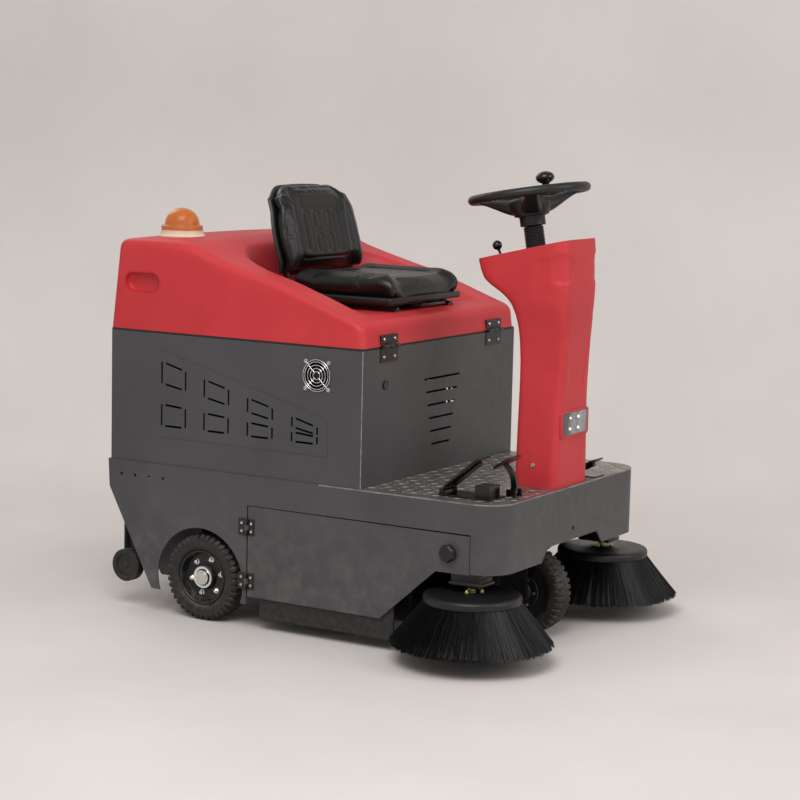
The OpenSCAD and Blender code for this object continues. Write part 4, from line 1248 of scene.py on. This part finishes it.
def make_chequer():
    """Raised lozenges on the floor plate, in two crossing directions."""
    lo, hi = box("floor_plate")
    top = hi[2]
    pitch, corner_r = 34.0, 85.0
    base = np.array([(-14, 0), (-8, 2.6), (0, 3.4), (8, 2.6), (14, 0), (8, -2.6), (0, -3.4),
                     (-8, -2.6)])
    ridge = np.array([(-8, 0), (0, 0), (8, 0)])
    shape = Shape()
    columns = int((hi[0] - 165) / pitch) + 1
    rows = int(2 * hi[1] / pitch)
    for i in range(columns):
        for j in range(rows):
            x = 172 + pitch * i
            y = lo[1] + 14 + pitch * j
            inside = x < hi[0] - 15 and abs(y) < hi[1] - 15
            corner_x, corner_y = hi[0] - corner_r, hi[1] - corner_r
            if x > corner_x and abs(y) > corner_y:
                inside = math.hypot(x - corner_x, abs(y) - corner_y) < corner_r - 17
            under_console = 444 < x < 603 and abs(y) < 118
            if not inside or under_console:
                continue
            turn = math.radians(45 if (i + j) % 2 else -45)
            c, s = math.cos(turn), math.sin(turn)
            rot = np.array(((c, -s), (s, c)))
            low = base @ rot.T
            high = ridge @ rot.T
            points = [(x + p[0], y + p[1], top - 0.1) for p in low]
            points += [(x + p[0] * 0.9, y + p[1] * 0.9, top + 1.2) for p in low * 0.8]
            points += [(x + p[0], y + p[1], top + 1.5) for p in high]
            faces = [(k, (k + 1) % 8, 8 + (k + 1) % 8, 8 + k) for k in range(8)]
            faces += [(8, 9, 16), (9, 10, 17, 16), (10, 11, 18, 17), (11, 12, 18),
                      (12, 13, 18), (13, 14, 17, 18), (14, 15, 16, 17), (15, 8, 16)]
            shape.add(points, faces)
    shape.piece("chequer_bumps", "chassis", CHEQUER, "chequer", angle=50)


def make_beads():
    """The pressed line round the vents on both cabinet sides."""
    half_wide = box("cabinet_shell")[1][1]
    corners = [(-545, 783), (52, 627), (55, 520), (-537, 521)]
    shape = Shape()
    for side in (-1, 1):
        y = side * (half_wide + 0.1)
        path = []
        for (x0, z0), (x1, z1) in zip(corners[:-1], corners[1:]):
            for t in np.linspace(0.01, 0.99, 12):
                path.append((x0 + (x1 - x0) * t, y, z0 + (z1 - z0) * t))
        shape.tube(path, 1.5, 8)
    shape.piece("cabinet_pressed_lines", "chassis", GREY, "grey_paint", angle=60)


DOOR_SCREW_HEIGHTS = (127, 150, 282, 305)
FAN_X, FAN_Z, FAN_SCREW_R = 17.0, 743.0, 53.0
FAN_SCREW_ANGLES = [math.radians(a) for a in (45, 135, 225, 315)]


def make_screws():
    """Pan-head screws on hinges, console and brush doors."""
    fixed, moving = Shape(), Shape()
    face = box("cabinet_shell")[1][0] + 2.5
    for side in (-1, 1):
        for y in (272, 328):
            screw_head(fixed, place_at((face, side * y, 796), (1, 0, 0), (0, 1, 0)), 5.2, 3)
            screw_head(moving, place_at((face, side * y, 845), (1, 0, 0), (0, 1, 0)), 5.2, 3)
        for z in DOOR_SCREW_HEIGHTS:
            screw_head(fixed, place_at((-224, side * 440.5, z), (0, side, 0)), 4.8, 3)
        screw_head(fixed, place_at((520, side * 103.2, 503), (0, side, 0)), 7, 3.5)
    for a in FAN_SCREW_ANGLES:
        px, pz = FAN_X + FAN_SCREW_R * math.cos(a), FAN_Z + FAN_SCREW_R * math.sin(a)
        screw_head(fixed, place_at((px, -437, pz), (0, -1, 0)), 4, 2.6)
    fixed.piece("screws_chassis", "chassis", ZINC, "zinc", ["fasteners"])
    moving.piece("screws_hood", "hood", ZINC, "zinc")
    for side, body in ((-1, "door_r"), (1, "door_l")):
        door = Shape()
        for z in DOOR_SCREW_HEIGHTS:
            screw_head(door, place_at((-192, side * 440.5, z), (0, side, 0)), 4.8, 3)
        door.piece("screws_" + body, body, ZINC, "zinc")
        leaves = Shape()
        for z in (115, 270):
            y0, y1 = sorted((side * 437.9, side * 441.0))
            leaves.rounded((-204.9, y0, z), (-182.6, y1, z + 47), 0.9)
        leaves.piece("hinge_leaf_" + body, body, BLACK, "black_paint")


def make_knobs():
    for side, body, node in ((-1, "knob_r", "door_knob_right"), (1, "knob_l", "door_knob_left")):
        place = place_at((453, side * 438.4, 302), (0, side, 0))

        def lobes(r, h, a):
            grip = smooth(r, 17, 22) * smooth(h, 3, 8)
            return r - 2.2 * grip * (0.5 + 0.5 * np.cos(a * 7)), h
        profile = [(0, -16), (6, -16), (6, 0), (16, 0), (19, 3), (23, 7), (25, 11), (25, 18),
                   (23.5, 22), (20, 24.6), (14, 26), (6, 26.2), (0, 26.2)]
        Shape().revolve(profile, place, 112, lobes).piece(
            "latch_" + body, body, PLASTIC, "black_plastic", [node], 45)


def make_pedals():
    pads = {"accelerator": ((385, -338, 454), 40, 146, 74, "accelerator_pedal"),
            "flap": ((519, 180, 450), 28, 78, 58, "flap_pedal")}
    for body, (pivot, angle, length, width, node) in pads.items():
        place = Matrix.Translation(pivot) @ Matrix.Rotation(math.radians(-angle), 4, "Y")
        shape = Shape()
        shape.rounded((12, -width / 2, 2), (length, width / 2, 8), 2.4, place)
        shape.rounded((-4, -width / 2 + 9, -3), (14, width / 2 - 9, 7.4), 2.4, place)
        count = int((length - 26) / 11)
        for k in range(count):
            x = 20 + 11 * k
            shape.rounded((x, -width / 2 + 7, 7.2), (x + 5, width / 2 - 7, 10), 1, place)
        shape.rounded((26, -9, -8), (length - 18, 9, 3), 3, place)
        shape.piece(body + "_pad", body, GLOSS, "black_paint", [node], 40)
    brake = Shape()
    path = [(547.5, 454), (549, 470), (546, 488), (538, 505), (526, 519), (515, 526)]
    grid = []
    for (x, z), w in zip(path, (9, 8.6, 8, 7.6, 7, 6.5)):
        grid += [(x - w, -268, z), (x + w, -268, z + 2), (x + w, -256, z + 2), (x - w, -256, z)]
    brake.add(grid, quads(len(path), 4, True) + end_caps(len(path), 4))
    brake.revolve([(4.2, -12.4), (9, -12.4), (9, 12.4), (4.2, 12.4), (4.2, -12.4)],
                  place_at((548, -262, 452), (0, 1, 0)), 32)
    place = Matrix.Translation((524, -262, 528)) @ Matrix.Rotation(math.radians(-32), 4, "Y")
    brake.rounded((-28, -34, 0), (32, 34, 7), 3, place)
    for k in range(5):
        brake.rounded((-22 + 11 * k, -28, 6), (-17 + 11 * k, 28, 9.4), 1, place)
    brake.piece("brake_arm_and_pad", "brake", GLOSS, "black_paint", ["brake_pedal"], 40)


def make_fan_guard():
    x, y, z = FAN_X, -437.6, FAN_Z
    wire = Shape()
    for r in (11, 20, 29, 38, 44):
        a = round_angles(64)
        ring = np.stack([x + r * np.cos(a), np.full(64, y - 1.2), z + r * np.sin(a)], -1)
        wire.tube(ring, 1.25, 8, True)
    for a in FAN_SCREW_ANGLES:
        c, s = math.cos(a), math.sin(a)
        wire.tube([(x + 9 * c, y, z + 9 * s), (x + 30 * c, y, z + 30 * s),
                   (x + 50 * c, y + 1.6, z + 50 * s)], 1.4, 8)
        wire.revolve([(2.2, -1), (6, -1), (6.2, 0), (6, 1), (2.2, 1), (2.2, -1)],
                     place_at((x + FAN_SCREW_R * c, y + 2, z + FAN_SCREW_R * s), (0, -1, 0)),
                     24)
    wire.piece("fan_guard_wires", "chassis", CHROME, None, ["fan_guard"], 50)
    ring = Shape()
    ring.revolve([(43, -20), (47, -20), (47, 2.4), (43, 2.4), (43, -20)],
                 place_at((x, -431, z), (0, -1, 0)), 64)
    ring.piece("fan_shroud", "chassis", PLASTIC, angle=40)


make_chequer()
make_beads()
make_screws()
make_knobs()
make_pedals()
make_fan_guard()


# ------------------------------------------------------------------ CAD nodes that stay

KEPT_NODES = (
    # material, then each node with the width of its softened edges in millimetres
    (GREY, {"chassis_shell": 0, "cabinet_shell": 0, "door_right": 0, "door_left": 0,
            "hopper_bin": 1.0}),
    (BLACK, {"chassis_frame": 1.2, "front_fork": 1.2, "hinge_leaves": 0.6,
             "hood_hinge_flaps": 0.6, "seat_rails": 0.8, "seat_lever": 0.8}),
    (GLOSS, {"pedal_bracket": 1.0, "cabinet_lock": 0.5}),
    (CHEQUER, {"floor_plate": 0.6}),
    (ZINC, {"rear_axle": 0.6, "key_switch": 0.4}),
    (RUBBER, {"side_skirts": 1.2, "hood_gasket": 1.0, "hopper_wheels": 1.2}),
    (CHROME, {"beacon_reflector": 0.6}),
    (BATTERY, {"batteries": 2.5}),
    (CAST, {"motor_controller": 1.0, "vacuum_fan": 1.5}),
    (PLASTIC, {"cooling_fan": 0.4, "main_brush_core": 1.0})
)
for material, nodes in KEPT_NODES:
    for node, edge in nodes.items():
        paint(node, material, edge)


# ------------------------------------------------------------------ floor and light

def make_stage():
    n = Nodes("pale_floor")
    cloud = n.noise(1.3, 5.0)
    n.put(n.mix(n.spread(cloud, 0.3, 0.7), rgb(0.66, 0.63, 0.61), rgb(0.72, 0.69, 0.67)),
          n.shader.inputs["Base Color"])
    n.shader.inputs["Roughness"].default_value = 0.7
    cove_at, cove_r = -1.2, 1.6
    profile = [(9.0, 0.0), (cove_at, 0.0)]
    profile += [(cove_at - cove_r * math.sin(t), cove_r - cove_r * math.cos(t))
                for t in np.linspace(0.1, math.pi / 2, 14)]
    profile += [(cove_at - cove_r, 8.0)]
    toward = Vector((math.sin(0.30), -math.cos(0.30), 0))
    across = Vector((toward.y, -toward.x, 0))
    points = [tuple(toward * d + across * w + Vector((0, 0, h)))
              for d, h in profile for w in (-14, 14)]
    mesh = bpy.data.meshes.new("floor")
    mesh.from_pydata(points, [], quads(len(profile), 2))
    mesh.shade_smooth()
    floor = bpy.data.objects.new("floor", mesh)
    bpy.context.scene.collection.objects.link(floor)
    floor.data.materials.append(n.material)
    world = bpy.data.worlds.new("studio")
    bpy.context.scene.world = world
    world.use_nodes = True
    world.node_tree.nodes["Background"].inputs[0].default_value = (0.80, 0.77, 0.76, 1)
    world.node_tree.nodes["Background"].inputs[1].default_value = 0.62
    lamps = [("key", (1.2, -3.2, 4.2), 3.0, 150, (1.0, 0.97, 0.95)),
             ("fill", (4.5, 0.5, 2.6), 2.5, 55, (1.0, 0.98, 0.97)),
             ("back", (-3.5, 2.0, 3.4), 2.5, 60, (1.0, 0.97, 0.95))]
    for name, where, size, power, colour in lamps:
        data = bpy.data.lights.new(name, "AREA")
        data.size = size
        data.energy = power
        data.color = colour
        lamp = bpy.data.objects.new(name, data)
        lamp.location = where
        aim = Vector((0, 0, 0.5)) - Vector(where)
        lamp.rotation_euler = aim.to_track_quat("-Z", "Y").to_euler()
        bpy.context.scene.collection.objects.link(lamp)
    bpy.context.scene.view_settings.view_transform = "Standard"


make_stage()
